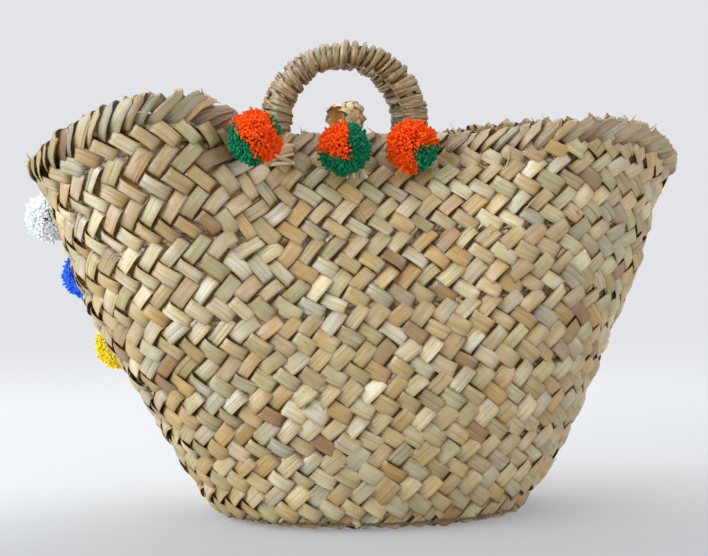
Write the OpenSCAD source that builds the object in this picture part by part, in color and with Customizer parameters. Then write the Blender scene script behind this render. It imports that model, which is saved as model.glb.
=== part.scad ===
// Plaited palm-leaf fruit basket: a long plait coiled on an oval base and sewn edge to edge,
// with two rope handles, a closing loop and yarn pompoms. Millimetres, +Z up.
// The origin is on the floor under the middle of the base, the front is -Y, the length is X.

/* [Basket] */
// Length of the oval foot of the wall
foot_length = 232; // [200:1:260]
// Depth of the oval foot of the wall
foot_depth = 148; // [125:1:170]
// Length of the rim, before its lip
rim_length = 433; // [390:1:480]
// Depth of the rim, before it is pinched
rim_depth = 200; // [180:1:220]
// Height of the rim at the middle of the mouth
rim_height = 264; // [235:1:290]
// How far the middle of the rim lies off the middle of the foot
rim_shift = -13; // [-20:1:12]
// How far the foot of the first course is drawn up at its right end
foot_lift = 14; // [0:1:16]
// Outward flare of the lip at the tips
lip_flare = 8; // [0:1:12]
// Thickness of the plait
shell = 5.2; // [4:0.1:7]
// How far a course swells out between its seams
course_swell = 1.2; // [0.4:0.1:2]
// Extra thickness where the leaves fold over the rim
rim_roll = 0.6; // [0:0.1:1.2]

/* [Mouth] */
// Share of the depth that the pinch takes away at the middle of the rim
pinch = 0.68; // [0.5:0.01:0.72]
// Half length of the flat stretch of the pinch, between the handles
pinch_flat = 30; // [20:1:45]
// Half length at which the pinch has run out
pinch_end = 150; // [130:1:170]
// Rise of the rim's hump on the left
left_rise = 27; // [0:1:40]
// Distance of the left hump's top from the middle
left_peak = 122; // [100:1:150]
// Rise of the rim's hump on the right
right_rise = 11; // [0:1:30]
// Distance of the right hump's top from the middle
right_peak = 150; // [110:1:170]
// Drop of the rim at its two tips
tip_droop = 17; // [0:1:25]

/* [Base] */
// Thickness of the base
base_thick = 6; // [5:0.5:8]
// Length of the straight plait that the coil starts from
core_plait_length = 112; // [90:1:125]
// Width of that plait
core_plait_width = 28; // [20:1:34]

/* [Sewing] */
// Diameter of the cord that sews the courses together
cord_d = 2.2; // [1.6:0.1:2.6]
// Clearance between neighbouring pieces
gap = 0.35; // [0.3:0.05:0.5]

/* [Handles] */
// Place of the handles along the length
handle_x = -25; // [-40:1:-15]
// Half the distance between the two legs of a handle
handle_half = 47; // [40:1:49]
// Height of the middle of the rope at the top of a handle
handle_top = 321; // [315:1:345]
// Radius of the rope inside its wrapping
rope_r = 6.5; // [5:0.1:7]
// Thickness of the wrapping leaf
wrap_thick = 3.2; // [2.4:0.1:3.6]
// Width of the wrapping leaf
wrap_width = 4.8; // [3.6:0.1:4.9]
// Turns of leaf round a handle
wrap_turns = 22; // [16:1:22]
// Length of rope that runs down inside the wall
tail_length = 36; // [30:1:40]
// Height of the bend of a handle over the rim
handle_rise = 9; // [7:0.5:12]
// Width of a lashing leaf
lashing_width = 4; // [3:0.5:4.5]
// Thickness of a lashing leaf
lashing_thick = 1.4; // [1:0.1:1.8]

/* [Closing loop] */
// Place of the loop along the length
loop_x = -20; // [-30:1:-12]
// Outer radius of the loop's bend
loop_r = 12.2; // [10.5:0.1:13]
// Thickness of the braid
braid_thick = 5.5; // [4.5:0.1:6]
// Width of the braid
braid_width = 16; // [12:0.5:18]
// Height of the bend's centre over the neck
loop_height = 12.5; // [11:0.5:16]
// Radius of the bound neck
neck_r = 4.5; // [4:0.1:5]
// Height of the neck over the rim
neck_rise = 7; // [5:0.5:9]
// Lean of the loop over the mouth
loop_lean = 24; // [10:1:30]
// Turn of the loop about its neck
loop_turn = -55; // [-65:1:-30]

/* [Pompoms] */
// Radius of the yarn balls
ball_r = 17; // [14:0.5:18]
// Radius of the tie that holds a ball
tie_r = 1.6; // [1.2:0.1:2]
// How far a ball hangs below its tie
ball_drop = 10; // [6:0.5:12]

/* [Hidden] */
$fn = 48;
// Round the basket and up the wall
stations = 60;
squareness = 0.05;
length_curve = 1.42;
depth_curve = 2.2;
pinch_curve = 2.2;
lift_curve = 1.2;
droop_curve = 2.4;
foot_lift_curve = 4;
foot_lift_spread = 1.1;
lip_start = 0.86;
lip_depth_share = 0.5;
left_start = 60;
right_start = 45;
foot_z = base_thick + 1;
// Eleven double rows of weave: two to each of the five courses, one to the rim
double_rows = 11;
courses = 5;
cord_r = cord_d/2;
cord_sides = 6;
seam_half = (cord_r + gap)/(rim_height - foot_z);
// A lashed tail leans against the wall between the rim and this share of the height
tail_foot = 0.86;
lashings = 3;
first_lashing = 7;
lashing_step = 5.5;
wrap_sides = 6;
wrap_rings = 12;
wrap_start = 5;
knot_r = 3;
neck_width = 2*neck_r;
// The left pompom hangs outside the left leg of the front handle, the middle one beside the middle
// of the handle, and the right one inside the right leg, clear of its lashing
left_ball_out = 33.6;
middle_ball_shift = -8.46;
right_ball_in = rope_r + lashing_thick + knot_r + 3.3*gap;
// Each front pompom: height share, place along the length, side shift, and the two angles of its
// green sector
front_balls = [[0.959, handle_x - handle_half - left_ball_out, 0, 115, 262],
               [0.963, handle_x + middle_ball_shift, 0, -165, 68],
               [0.968, handle_x + handle_half - right_ball_in, 5, -76, 6]];
// Each rear pompom: height share and angle round the wall
rear_balls = [[0.864, 162.3], [0.676, 155.2], [0.479, 153.4]];

palm = "#b8a67c";
palm_dark = "#94815c";
palm_pale = "#d3c39b";
orange_yarn = "#e8440b";
green_yarn = "#125a3f";

// Shape of the wall

function ease(u) = let (v = max(0, min(1, u))) v*v*(3 - 2*v);
function unit(v) = v/norm(v);
function below(t) = max(0, 1 - t);

// Squarish oval with half sizes a and b
function oval(a, b, ph) = [a*cos(ph)*(1 + squareness*pow(sin(ph), 2)),
                           b*sin(ph)*(1 + squareness*pow(cos(ph), 2))];

function half_length(t) = foot_length/2 + (rim_length - foot_length)/2*(1 - pow(below(t), length_curve))
    + lip_flare*ease((t - lip_start)/(1 - lip_start));
function half_depth(t) = foot_depth/2 + (rim_depth - foot_depth)/2*(1 - pow(below(t), depth_curve))
    + lip_depth_share*lip_flare*ease((t - lip_start)/(1 - lip_start));

// Height of the rim over its middle, at a distance along the length
function rim_lift(x) =
    let (left = x < 0,
         peak = left ? left_peak : right_peak,
         rise = left ? left_rise : right_rise,
         start = left ? left_start : right_start,
         tip = rim_length/2 + lip_flare,
         past = max(0, (abs(x) - peak)/(tip - peak)))
    rise*ease((abs(x) - start)/(peak - start)) - (rise + tip_droop)*pow(past, droop_curve);

// How far the rows of the lowest course are drawn up, at an angle round the mouth
function foot_rise(ph) = foot_lift*pow((1 + cos(ph))/2, foot_lift_spread);

// Middle of the wall at a share t of the height and an angle ph round the mouth
function wall(t, ph) =
    let (a = half_length(t),
         q = oval(a, half_depth(t), ph),
         x = q.x + rim_shift*(1 - pow(below(t), 2)),
         fade = 1 - ease((abs(x - handle_x) - pinch_flat)/(pinch_end - pinch_flat)),
         squeeze = pinch*pow(max(0, t), pinch_curve)*fade,
         along = q.x/a*(rim_length/2 + lip_flare))
    [x,
     q.y*(1 - squeeze),
     foot_z + (rim_height - foot_z)*t + pow(max(0, t), lift_curve)*rim_lift(along)
         + foot_rise(ph)*pow(below(t), foot_lift_curve)];

// Share of the height at which the wall stands on the base: below 0 where its rows are drawn up
function foot_share(ph, t = 0, n = 14) =
    n == 0 ? t
    : foot_share(ph, -foot_rise(ph)*pow(below(t), foot_lift_curve)/(rim_height - foot_z), n - 1);

// Place, direction round the wall, direction up the wall and direction out of the wall
function wall_frame(t, ph) =
    let (along = unit(wall(t, ph + 1) - wall(t, ph - 1)),
         climb = wall(min(1, t + 0.02), ph) - wall(t - 0.02, ph),
         out = unit(cross(along, climb)))
    [wall(t, ph), along, cross(out, along), out];

function skin(t, ph, off) = let (f = wall_frame(t, ph)) f[0] + off*f[3];

// Angle at which the wall at height share t reaches x, on the front (side -1) or the rear (side 1)
function angle_at(t, x, side, low = 0, high = 180, n = 30) =
    let (mid = (low + high)/2)
    n == 0 ? side*mid
    : wall(t, side*mid).x > x ? angle_at(t, x, side, mid, high, n - 1)
    : angle_at(t, x, side, low, mid, n - 1);

// Where the ropes are held

// Middle of a rope of radius r that lies against the inside of the wall
function seat(t, x, side, r) = skin(t, angle_at(t, x, side), -(shell/2 + rim_roll + gap + r));

function over_rim(x, side, r, rise) =
    let (top = seat(1, x, side, r), low = seat(tail_foot, x, side, r))
    top + rise*unit(top - low);

left_leg_x = handle_x - handle_half;
right_leg_x = handle_x + handle_half;

// Both legs of a handle bend about one line, which lies inside the nearer stretch of the rim
function handle_pivot(side) =
    let (a = over_rim(left_leg_x, side, rope_r, handle_rise),
         b = over_rim(right_leg_x, side, rope_r, handle_rise))
    [handle_x, side*min(abs(a.y), abs(b.y)), max(a.z, b.z)];

function loop_pivot() = let (p = over_rim(loop_x, 1, neck_r, neck_rise)) [loop_x, p.y, p.z];

// Solids that follow the wall

// Closed ring of sections: every section is joined to the next, and the last to the first
module ring_solid(rings) {
    n = len(rings);
    m = len(rings[0]);
    polyhedron(
        points = [for (ring = rings) each ring],
        faces = [for (i = [0:n - 1], j = [0:m - 1])
            let (a = i*m + j, b = i*m + (j + 1) % m,
                 c = ((i + 1) % n)*m + (j + 1) % m, d = ((i + 1) % n)*m + j)
            each [[a, c, b], [a, d, c]]]);
}

// Open tube of sections with flat ends
module tube_solid(rings) {
    n = len(rings);
    m = len(rings[0]);
    sides = [for (i = [0:n - 2], j = [0:m - 1])
        let (a = i*m + j, b = i*m + (j + 1) % m, c = (i + 1)*m + (j + 1) % m, d = (i + 1)*m + j)
        each [[a, b, c], [a, c, d]]];
    first_end = [for (j = [1:m - 2]) [0, j + 1, j]];
    last_end = [for (j = [1:m - 2]) [(n - 1)*m, (n - 1)*m + j, (n - 1)*m + j + 1]];
    polyhedron(points = [for (ring = rings) each ring], faces = concat(sides, first_end, last_end));
}

function station_angles() = [for (i = [0:stations - 1]) i*360/stations];

module wall_ring(section) {
    ring_solid([for (ph = station_angles()) [for (s = section) skin(s[0], ph, s[1])]]);
}

// One course of the coiled plait, from the seam below it to the seam above it
module course(k) {
    high = 2*k/double_rows - seam_half;
    color(palm) ring_solid([for (ph = station_angles())
        let (low = k > 1 ? 2*(k - 1)/double_rows + seam_half : foot_share(ph),
             middle = (low + high)/2)
        [skin(low, ph, -shell/2), skin(middle, ph, -shell/2), skin(high, ph, -shell/2),
         skin(high, ph, shell/2), skin(middle, ph, shell/2 + course_swell), skin(low, ph, shell/2)]]);
}

// The last half course, whose leaves fold over the edge
module rim_band() {
    low = 2*courses/double_rows + seam_half;
    shoulder = 0.985;
    middle = (low + shoulder)/2;
    color(palm) wall_ring([[low, -shell/2], [shoulder, -shell/2 - rim_roll], [1, -shell/4],
                           [1, shell/4], [shoulder, shell/2 + rim_roll],
                           [middle, shell/2 + course_swell], [low, shell/2]]);
}

// Sewing cord round the wall, moved down the wall by a given length
module cord_ring(t, lower) {
    color(palm_dark) ring_solid([for (ph = station_angles())
        let (f = wall_frame(is_undef(t) ? foot_share(ph) : t, ph), middle = f[0] - lower*f[2])
        [for (j = [0:cord_sides - 1])
            let (a = j*360/cord_sides) middle + cord_r*(cos(a)*f[2] + sin(a)*f[3])]]);
}

module wall_band_1() { course(1); }
module wall_band_2() { course(2); }
module wall_band_3() { course(3); }
module wall_band_4() { course(4); }
module wall_band_5() { course(5); }
module foot_seam_cord() { cord_ring(undef, cord_r + gap); }
module seam_cord_1() { cord_ring(2/double_rows, 0); }
module seam_cord_2() { cord_ring(4/double_rows, 0); }
module seam_cord_3() { cord_ring(6/double_rows, 0); }
module seam_cord_4() { cord_ring(8/double_rows, 0); }
module seam_cord_5() { cord_ring(10/double_rows, 0); }

// Base

core_half = (core_plait_length - core_plait_width)/2;
ring_inset = cord_d + 0.3;

// Edge of the base, which lies a little inside the foot of the wall
function foot_point(ph) = let (p = wall(foot_share(ph), ph)) [p.x, p.y];
function base_edge(ph) =
    let (d = unit(foot_point(ph + 1) - foot_point(ph - 1)))
    foot_point(ph) - ring_inset*[d.y, -d.x];

// Flat shape with round ends
module stadium(half, r) {
    square([2*half, 2*r], center = true);
    for (s = [-1, 1]) translate([s*half, 0]) circle(r);
}

module base_centre_plait() {
    color(palm) linear_extrude(base_thick) stadium(core_half, core_plait_width/2);
}

module base_ring_plait() {
    color(palm) linear_extrude(base_thick) difference() {
        polygon([for (ph = station_angles()) base_edge(ph)]);
        stadium(core_half, core_plait_width/2 + cord_d + 2*gap);
    }
}

module base_seam_cord() {
    turn_r = core_plait_width/2 + gap + cord_r;
    color(palm_dark) translate([0, 0, base_thick/2]) {
        for (s = [-1, 1]) translate([s*core_half, 0, 0]) rotate([0, 0, s*90 - 180])
            rotate_extrude(angle = 180) translate([turn_r, 0]) circle(cord_r);
        for (s = [-1, 1]) translate([-core_half, s*turn_r, 0]) rotate([0, 90, 0])
            cylinder(r = cord_r, h = 2*core_half);
    }
}

// Handles

arch_z = handle_top - handle_half;
wrap_r = rope_r + gap + 0.2 + wrap_thick/2;
// The legs are slimmer than the arch by this step, so that the two meet on a plain ring
leg_step = 0.1;

// Rope from bend to bend, with round ends that turn over the tails
module handle_rope(side) {
    pivot = handle_pivot(side);
    color(palm_dark) translate([pivot.x, pivot.y, 0]) {
        translate([0, 0, arch_z]) rotate([90, 0, 0]) rotate_extrude(angle = 180)
            translate([handle_half, 0]) circle(rope_r);
        for (s = [-1, 1]) translate([s*handle_half, 0, pivot.z]) {
            cylinder(r = rope_r - leg_step, h = arch_z - pivot.z);
            sphere(rope_r - leg_step);
        }
    }
}

// Point on the middle line of the rope, and its direction, at a length from the right-hand bend
function rope_at(s, leg) =
    let (turn = (s - leg)/handle_half*180/PI)
    s < leg ? [[handle_half, 0, s - leg], [0, 0, 1]]
    : turn > 180 ? [[-handle_half, 0, leg + PI*handle_half - s], [0, 0, -1]]
    : [[handle_half*cos(turn), 0, handle_half*sin(turn)], [-sin(turn), 0, cos(turn)]];

// Sections of the leaf that winds round the rope
function wrap_sections(leg) =
    let (length = 2*(leg - wrap_start) + PI*handle_half, steps = wrap_turns*wrap_rings)
    [for (i = [0:steps])
        let (spot = rope_at(wrap_start + length*i/steps, leg),
             a = 360*i/wrap_rings,
             inward = cross(spot[1], [0, 1, 0]),
             radial = cos(a)*inward + sin(a)*[0, 1, 0])
        [for (j = [0:wrap_sides - 1])
            let (b = 360*j/wrap_sides)
            spot[0] + (wrap_r + wrap_thick/2*sin(b))*radial + wrap_width/2*cos(b)*spot[1]]];

// Least distance between one turn and the next, on the points of the winding
function winding_gap(rings) =
    min([for (i = [0:len(rings) - wrap_rings - 2], step = [-1, 0, 1], p = rings[i],
              q = rings[i + wrap_rings + step]) norm(p - q)]);

module handle_wrap(side) {
    pivot = handle_pivot(side);
    sections = wrap_sections(arch_z - pivot.z);
    echo(least_gap_of_winding = winding_gap(sections));
    color(palm) translate([pivot.x, pivot.y, arch_z]) tube_solid(sections);
}

// Frame on a tail: its z axis runs up the tail from the pivot, its y axis points out of the basket
module on_tail(pivot, low, side) {
    up = unit(pivot - low);
    out = unit(cross([1, 0, 0], up))*(side < 0 ? -1 : 1)*-1;
    across = cross(out, up);
    multmatrix([[across.x, out.x, up.x, pivot.x],
                [across.y, out.y, up.y, pivot.y],
                [across.z, out.z, up.z, pivot.z]]) children();
}

// Rope that runs down inside the wall from just under the bend
module tail(pivot, low, side, r, clear = gap) {
    color(palm_dark) on_tail(pivot, low, side) translate([0, 0, -tail_length])
        cylinder(r = r, h = tail_length - r - clear);
}

// Leaves that bind a tail to the wall, through the plait on both sides of it
module lashing(pivot, low, side, r, rise) {
    hole_r = r + gap;
    depth = hole_r + rim_roll + shell + course_swell + gap;
    color(palm_pale) on_tail(pivot, low, side) for (i = [0:lashings - 1])
        translate([0, 0, -rise - first_lashing - i*lashing_step - lashing_width])
            linear_extrude(lashing_width) difference() {
                lashing_outline(hole_r + lashing_thick, depth + lashing_thick);
                lashing_outline(hole_r, depth);
            }
}

module lashing_outline(r, depth) {
    circle(r);
    translate([-r, 0]) square([2*r, depth]);
}

function handle_leg(side, x) = let (p = handle_pivot(side)) [x, p.y, p.z];

module handle_tail(side, x) {
    tail(handle_leg(side, x), seat(tail_foot, x, side, rope_r), side, rope_r);
}

module handle_lashing(side, x) {
    lashing(handle_leg(side, x), seat(tail_foot, x, side, rope_r), side, rope_r, handle_rise);
}

module front_handle_rope() { handle_rope(-1); }
module front_handle_wrap() { handle_wrap(-1); }
module front_tail_left() { handle_tail(-1, left_leg_x); }
module front_tail_right() { handle_tail(-1, right_leg_x); }
module front_lashing_left() { handle_lashing(-1, left_leg_x); }
module front_lashing_right() { handle_lashing(-1, right_leg_x); }
module rear_handle_rope() { handle_rope(1); }
module rear_handle_wrap() { handle_wrap(1); }
module rear_tail_left() { handle_tail(1, left_leg_x); }
module rear_tail_right() { handle_tail(1, right_leg_x); }
module rear_lashing_left() { handle_lashing(1, left_leg_x); }
module rear_lashing_right() { handle_lashing(1, right_leg_x); }

// Closing loop

// Two circles, one above the other, and the straight sides that touch both
module teardrop(low_r, low_y, high_r, high_y) {
    rise = high_y - low_y;
    lean = asin((high_r - low_r)/rise);
    normal = [cos(lean), sin(lean)];
    translate([0, low_y]) circle(low_r);
    translate([0, high_y]) circle(high_r);
    polygon([[low_r*normal.x, low_y + low_r*normal.y], [high_r*normal.x, high_y + high_r*normal.y],
             [-high_r*normal.x, high_y + high_r*normal.y], [-low_r*normal.x, low_y + low_r*normal.y]]);
}

module closing_loop() {
    top = loop_height + loop_r;
    eye_r = loop_r - braid_thick;
    eye_foot_r = 1.2;
    color(palm_pale) translate(loop_pivot()) rotate([loop_lean, 0, 0]) rotate([0, 0, loop_turn]) {
        intersection() {
            rotate([90, 0, 0]) translate([0, 0, -braid_width/2]) linear_extrude(braid_width)
                difference() {
                    teardrop(neck_r, 0, loop_r, loop_height);
                    teardrop(eye_foot_r, loop_height - 1.15*eye_r, eye_r, loop_height);
                }
            rotate([90, 0, 90]) translate([0, 0, -loop_r]) linear_extrude(2*loop_r)
                polygon([[-neck_width/2, 0], [neck_width/2, 0], [braid_width/2, loop_height*0.7],
                         [braid_width/2, top], [-braid_width/2, top], [-braid_width/2, loop_height*0.7]]);
        }
        sphere(neck_r);
    }
}

// The loop leans far over, so its tail ends a little lower
module loop_tail() { tail(loop_pivot(), seat(tail_foot, loop_x, 1, neck_r), 1, neck_r, 2*gap); }
module loop_lashing() { lashing(loop_pivot(), seat(tail_foot, loop_x, 1, neck_r), 1, neck_r, neck_rise); }

// Pompoms

root_out = shell/2 + course_swell;
ball_out = root_out + lashing_thick + 5*gap + ball_r;

// A front pompom gives its place along the length, a rear one its angle
function ball_angle(b) = len(b) > 2 ? angle_at(b[0], b[1], -1) : b[1];
function ball_frame(b) = wall_frame(b[0], ball_angle(b));
function ball_root(b) = let (f = ball_frame(b)) f[0] + root_out*f[3];
function ball_centre(b) =
    let (f = ball_frame(b)) f[0] + ball_out*f[3] - ball_drop*f[2] + (len(b) > 2 ? b[2] : 0)*f[1];

// Frame with x round the wall, y up the wall and z out of it, at a given point
module on_wall(b, point) {
    f = ball_frame(b);
    multmatrix([[f[1].x, f[2].x, f[3].x, point.x],
                [f[1].y, f[2].y, f[3].y, point.y],
                [f[1].z, f[2].z, f[3].z, point.z]]) children();
}

// Cylinder from one point towards another
module rod(a, b, r) {
    v = b - a;
    translate(a) rotate([0, acos(v.z/norm(v)), atan2(v.y, v.x)]) cylinder(r = r, h = norm(v));
}

tie_start = gap + 0.65*tie_r;

function tie_begin(b) = let (a = ball_root(b)) a + tie_start*unit(ball_centre(b) - a);

// Sector of a ball between two angles, as seen from outside the wall
module sector(b, from, to) {
    on_wall(b, ball_centre(b)) rotate([0, 0, from]) rotate_extrude(angle = to - from) intersection() {
        circle(ball_r);
        translate([0, -ball_r]) square([ball_r, 2*ball_r]);
    }
}

module orange_part(b) { color(orange_yarn) sector(b, b[4], b[3] + 360); }
module green_part(b) { color(green_yarn) sector(b, b[3], b[4]); }
module plain_ball(b, hue) { color(hue) translate(ball_centre(b)) sphere(ball_r); }

// Tie from the wall to the ball
module tie(b) {
    end = ball_centre(b) - (ball_r + gap)*unit(ball_centre(b) - ball_root(b));
    color(palm_pale) rod(tie_begin(b), end, tie_r);
}

// Knot inside the wall, with the yarn that goes through the plait
module knot(b) {
    f = ball_frame(b);
    inside = f[0] - (shell/2 + rim_roll + gap + knot_r)*f[3];
    color(palm_pale) {
        translate(inside) sphere(knot_r);
        rod(inside, f[0] + root_out*f[3], tie_r);
    }
}

module pompom_left_orange() { orange_part(front_balls[0]); }
module pompom_left_green() { green_part(front_balls[0]); }
module pompom_left_tie() { tie(front_balls[0]); }
module pompom_left_knot() { knot(front_balls[0]); }
module pompom_middle_orange() { orange_part(front_balls[1]); }
module pompom_middle_green() { green_part(front_balls[1]); }
module pompom_middle_tie() { tie(front_balls[1]); }
module pompom_middle_knot() { knot(front_balls[1]); }
module pompom_right_orange() { orange_part(front_balls[2]); }
module pompom_right_green() { green_part(front_balls[2]); }
module pompom_right_tie() { tie(front_balls[2]); }
module pompom_right_knot() { knot(front_balls[2]); }
module pompom_white_yarn() { plain_ball(rear_balls[0], "#e6eaec"); }
module pompom_white_tie() { tie(rear_balls[0]); }
module pompom_white_knot() { knot(rear_balls[0]); }
module pompom_blue_yarn() { plain_ball(rear_balls[1], "#3974ce"); }
module pompom_blue_tie() { tie(rear_balls[1]); }
module pompom_blue_knot() { knot(rear_balls[1]); }
module pompom_yellow_yarn() { plain_ball(rear_balls[2], "#f0e45a"); }
module pompom_yellow_tie() { tie(rear_balls[2]); }
module pompom_yellow_knot() { knot(rear_balls[2]); }

base_centre_plait();
base_ring_plait();
base_seam_cord();
wall_band_1();
wall_band_2();
wall_band_3();
wall_band_4();
wall_band_5();
rim_band();
foot_seam_cord();
seam_cord_1();
seam_cord_2();
seam_cord_3();
seam_cord_4();
seam_cord_5();
front_handle_rope();
front_handle_wrap();
front_tail_left();
front_tail_right();
front_lashing_left();
front_lashing_right();
rear_handle_rope();
rear_handle_wrap();
rear_tail_left();
rear_tail_right();
rear_lashing_left();
rear_lashing_right();
closing_loop();
loop_tail();
loop_lashing();
pompom_left_orange();
pompom_left_green();
pompom_left_tie();
pompom_left_knot();
pompom_middle_orange();
pompom_middle_green();
pompom_middle_tie();
pompom_middle_knot();
pompom_right_orange();
pompom_right_green();
pompom_right_tie();
pompom_right_knot();
pompom_white_yarn();
pompom_white_tie();
pompom_white_knot();
pompom_blue_yarn();
pompom_blue_tie();
pompom_blue_knot();
pompom_yellow_yarn();
pompom_yellow_tie();
pompom_yellow_knot();
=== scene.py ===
"""Dresses the basket's solids with plaited palm leaf, wound handles, a braided loop and yarn pompoms."""

import math

import bpy
import numpy as np
from mathutils import Matrix


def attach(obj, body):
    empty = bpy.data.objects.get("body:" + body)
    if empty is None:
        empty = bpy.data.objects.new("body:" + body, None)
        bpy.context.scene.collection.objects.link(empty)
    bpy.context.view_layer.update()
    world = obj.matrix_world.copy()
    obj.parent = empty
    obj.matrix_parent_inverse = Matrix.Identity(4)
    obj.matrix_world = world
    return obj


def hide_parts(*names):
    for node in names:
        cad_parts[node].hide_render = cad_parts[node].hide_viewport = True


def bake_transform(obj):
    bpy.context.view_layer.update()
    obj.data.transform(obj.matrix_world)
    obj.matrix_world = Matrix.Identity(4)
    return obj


bl_info = {
    "name": "Palm leaf basket",
    "version": (1, 0, 0),
    "blender": (4, 5, 0),
    "location": "3D View > Sidebar > Basket",
    "description": "Plaits, winds and ties the pieces of a palm leaf basket over its solids",
    "category": "Object",
}

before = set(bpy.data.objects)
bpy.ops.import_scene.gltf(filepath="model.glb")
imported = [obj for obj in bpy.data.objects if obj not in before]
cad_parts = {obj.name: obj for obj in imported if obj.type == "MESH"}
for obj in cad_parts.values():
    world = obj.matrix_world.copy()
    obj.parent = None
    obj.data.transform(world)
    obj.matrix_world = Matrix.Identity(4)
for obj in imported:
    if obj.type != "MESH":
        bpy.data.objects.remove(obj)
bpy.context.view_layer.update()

# Lengths below are in millimetres, as in the part's source, and become metres when a mesh is made
MM = 0.001
FULL_TURN = 2*math.pi

# Wall
FOOT_LENGTH = 232
FOOT_DEPTH = 148
FOOT_Z = 7
RIM_LENGTH = 433
RIM_DEPTH = 200
RIM_HEIGHT = 264
RIM_SHIFT = -13
LIP_FLARE = 8
LIP_START = 0.86
LIP_DEPTH_SHARE = 0.5
SQUARENESS = 0.05
LENGTH_CURVE = 1.42
DEPTH_CURVE = 2.2
PINCH = 0.68
PINCH_FLAT = 30
PINCH_END = 150
PINCH_CURVE = 2.2
LIFT_CURVE = 1.2
LEFT_RISE = 27
LEFT_PEAK = 122
LEFT_START = 60
RIGHT_RISE = 11
RIGHT_PEAK = 150
RIGHT_START = 45
TIP_DROOP = 17
DROOP_CURVE = 2.4
FOOT_LIFT = 14
FOOT_LIFT_CURVE = 4
FOOT_LIFT_SPREAD = 1.1
SHELL = 5.2
WALL_CLIMB = 272

# Plait: 44 rows of crossings up the wall, 8 in each course of the coil
WALL_ROWS = 44
COURSE_ROWS = 8
COURSES = 5
RIM_ROWS = 4
TUCK = 0.8
UNDER = 0.5
FOOT_TUCK = 0.5
LEAF_THICK = 0.75
SHINGLE = 0.14
FULL_HEIGHT = 1.9
DOUBLED = 0.3

# Base
CORE_HALF = 42
CORE_R = 14
RING_INNER = 17
RING_INSET = 2.5
BASE_MIDDLE = 3.5
BASE_HEIGHT = 1.1
RING_COLUMNS = 32
CORE_COLUMNS = 6
CORE_NARROW = 0.95
TURN_UP = 2.5
TURN_IN = 3.2
BEND_SOFT = 5
SOFT_SHARE = 0.8

# Handles and loop
HANDLE_X = -25
HANDLE_HALF = 47
ARCH_Z = 274
HANDLE_Y = 24.094
HANDLE_Z = 267.79
ROPE_R = 6.5
TAIL_FOOT = 0.86
TAIL_LENGTH = 36
HANDLE_RISE = 9
RIM_ROLL = 0.6
GAP = 0.35
LOOP_PIVOT = (-20, 23.2187, 266.228)
LOOP_R = 12.2
LOOP_HEIGHT = 12.5
LOOP_LEAN = 24
LOOP_TURN = -55
NECK_R = 4.5
NECK_RISE = 7
BRAID_THICK = 5.5
BRAID_WIDTH = 16

# Pompoms: height share, place along the wall or angle, and shift of each
BALL_R = 17
BALL_DROP = 10
ROOT_OUT = 3.8
BALL_OUT = 23.95
FRONT_BALLS = {
    "left": (0.959, -105.6, 0),
    "middle": (0.963, -33.46, 0),
    "right": (0.968, 9.945, 5),
}
REAR_BALLS = {"white": (0.864, 162.3), "blue": (0.676, 155.2), "yellow": (0.479, 153.4)}

# Rows of the plait against the wall's height: they spread, follow the rim's lift and sag to the left
ROW_CURVE = 3
ROW_SPREAD = 0.14
ROW_SAG = 18
SAG_START = 0.35
SAG_REACH = 1.3
LEVELS = 45
TURN_STEPS = 721
END_STEPS = 61
CORD_STEPS = 361

# Rounds in which a place is found
FOOT_TRIES = 14
ANGLE_TRIES = 40
ROW_TRIES = 4
SQUARE_TRIES = 3

# Waves of a hand-made wall: size, waves round it, waves up it and start
ROW_WAVES = ((1.0, 3, 1.3, 0.0), (0.8, 7, -2.1, 0.3), (0.7, 12, 0.7, 0.1), (0.5, 19, 3.2, 0.6))
DENT_WAVES = ((1.0, 2, 1.7, 0.2), (0.8, 5, -1.1, 0.4), (0.7, 8, 2.3, 0.0), (0.6, 13, -3.4, 0.7))
ROW_STRAY = 0.0042
DENT_DEPTH = 0.8


def linear(red, green, blue):
    """Colour for a shader from the values 0 to 255 that a screen shows."""
    shares = [value/255 for value in (red, green, blue)]
    return tuple(s/12.92 if s <= 0.04045 else ((s + 0.055)/1.055)**2.4 for s in shares)


def ease(u):
    """Smooth step from 0 to 1."""
    v = np.clip(u, 0, 1)
    return v*v*(3 - 2*v)


def unit(v):
    return v/np.linalg.norm(v, axis=-1, keepdims=True)


def ranged(luck, least, more):
    """Value from least to least and more, by luck."""
    return least + more*luck


def lengths(points):
    """Length along a line to each of its points."""
    steps = np.linalg.norm(np.diff(points, axis=0), axis=1)
    return np.concatenate([[0], np.cumsum(steps)])


# Shape of the wall

def rim_lift(x):
    """How far the rim stands above its middle, at a distance x along the mouth."""
    left = x < 0
    far = np.abs(x)
    peak = np.where(left, LEFT_PEAK, RIGHT_PEAK)
    rise = np.where(left, LEFT_RISE, RIGHT_RISE)
    start = np.where(left, LEFT_START, RIGHT_START)
    past = np.clip((far - peak)/(RIM_LENGTH/2 + LIP_FLARE - peak), 0, None)
    return rise*ease((far - start)/(peak - start)) - (rise + TIP_DROOP)*past**DROOP_CURVE


def foot_rise(angle):
    """How far the rows of the lowest course are drawn up."""
    return FOOT_LIFT*((1 + np.cos(angle))/2)**FOOT_LIFT_SPREAD


def foot_share(angle):
    """Share of the height at which the wall stands on the base, below 0 where its rows are drawn up."""
    t = np.zeros_like(np.asarray(angle, float))
    for _ in range(FOOT_TRIES):
        t = -foot_rise(angle)*(1 - t)**FOOT_LIFT_CURVE/(RIM_HEIGHT - FOOT_Z)
    return t


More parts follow.
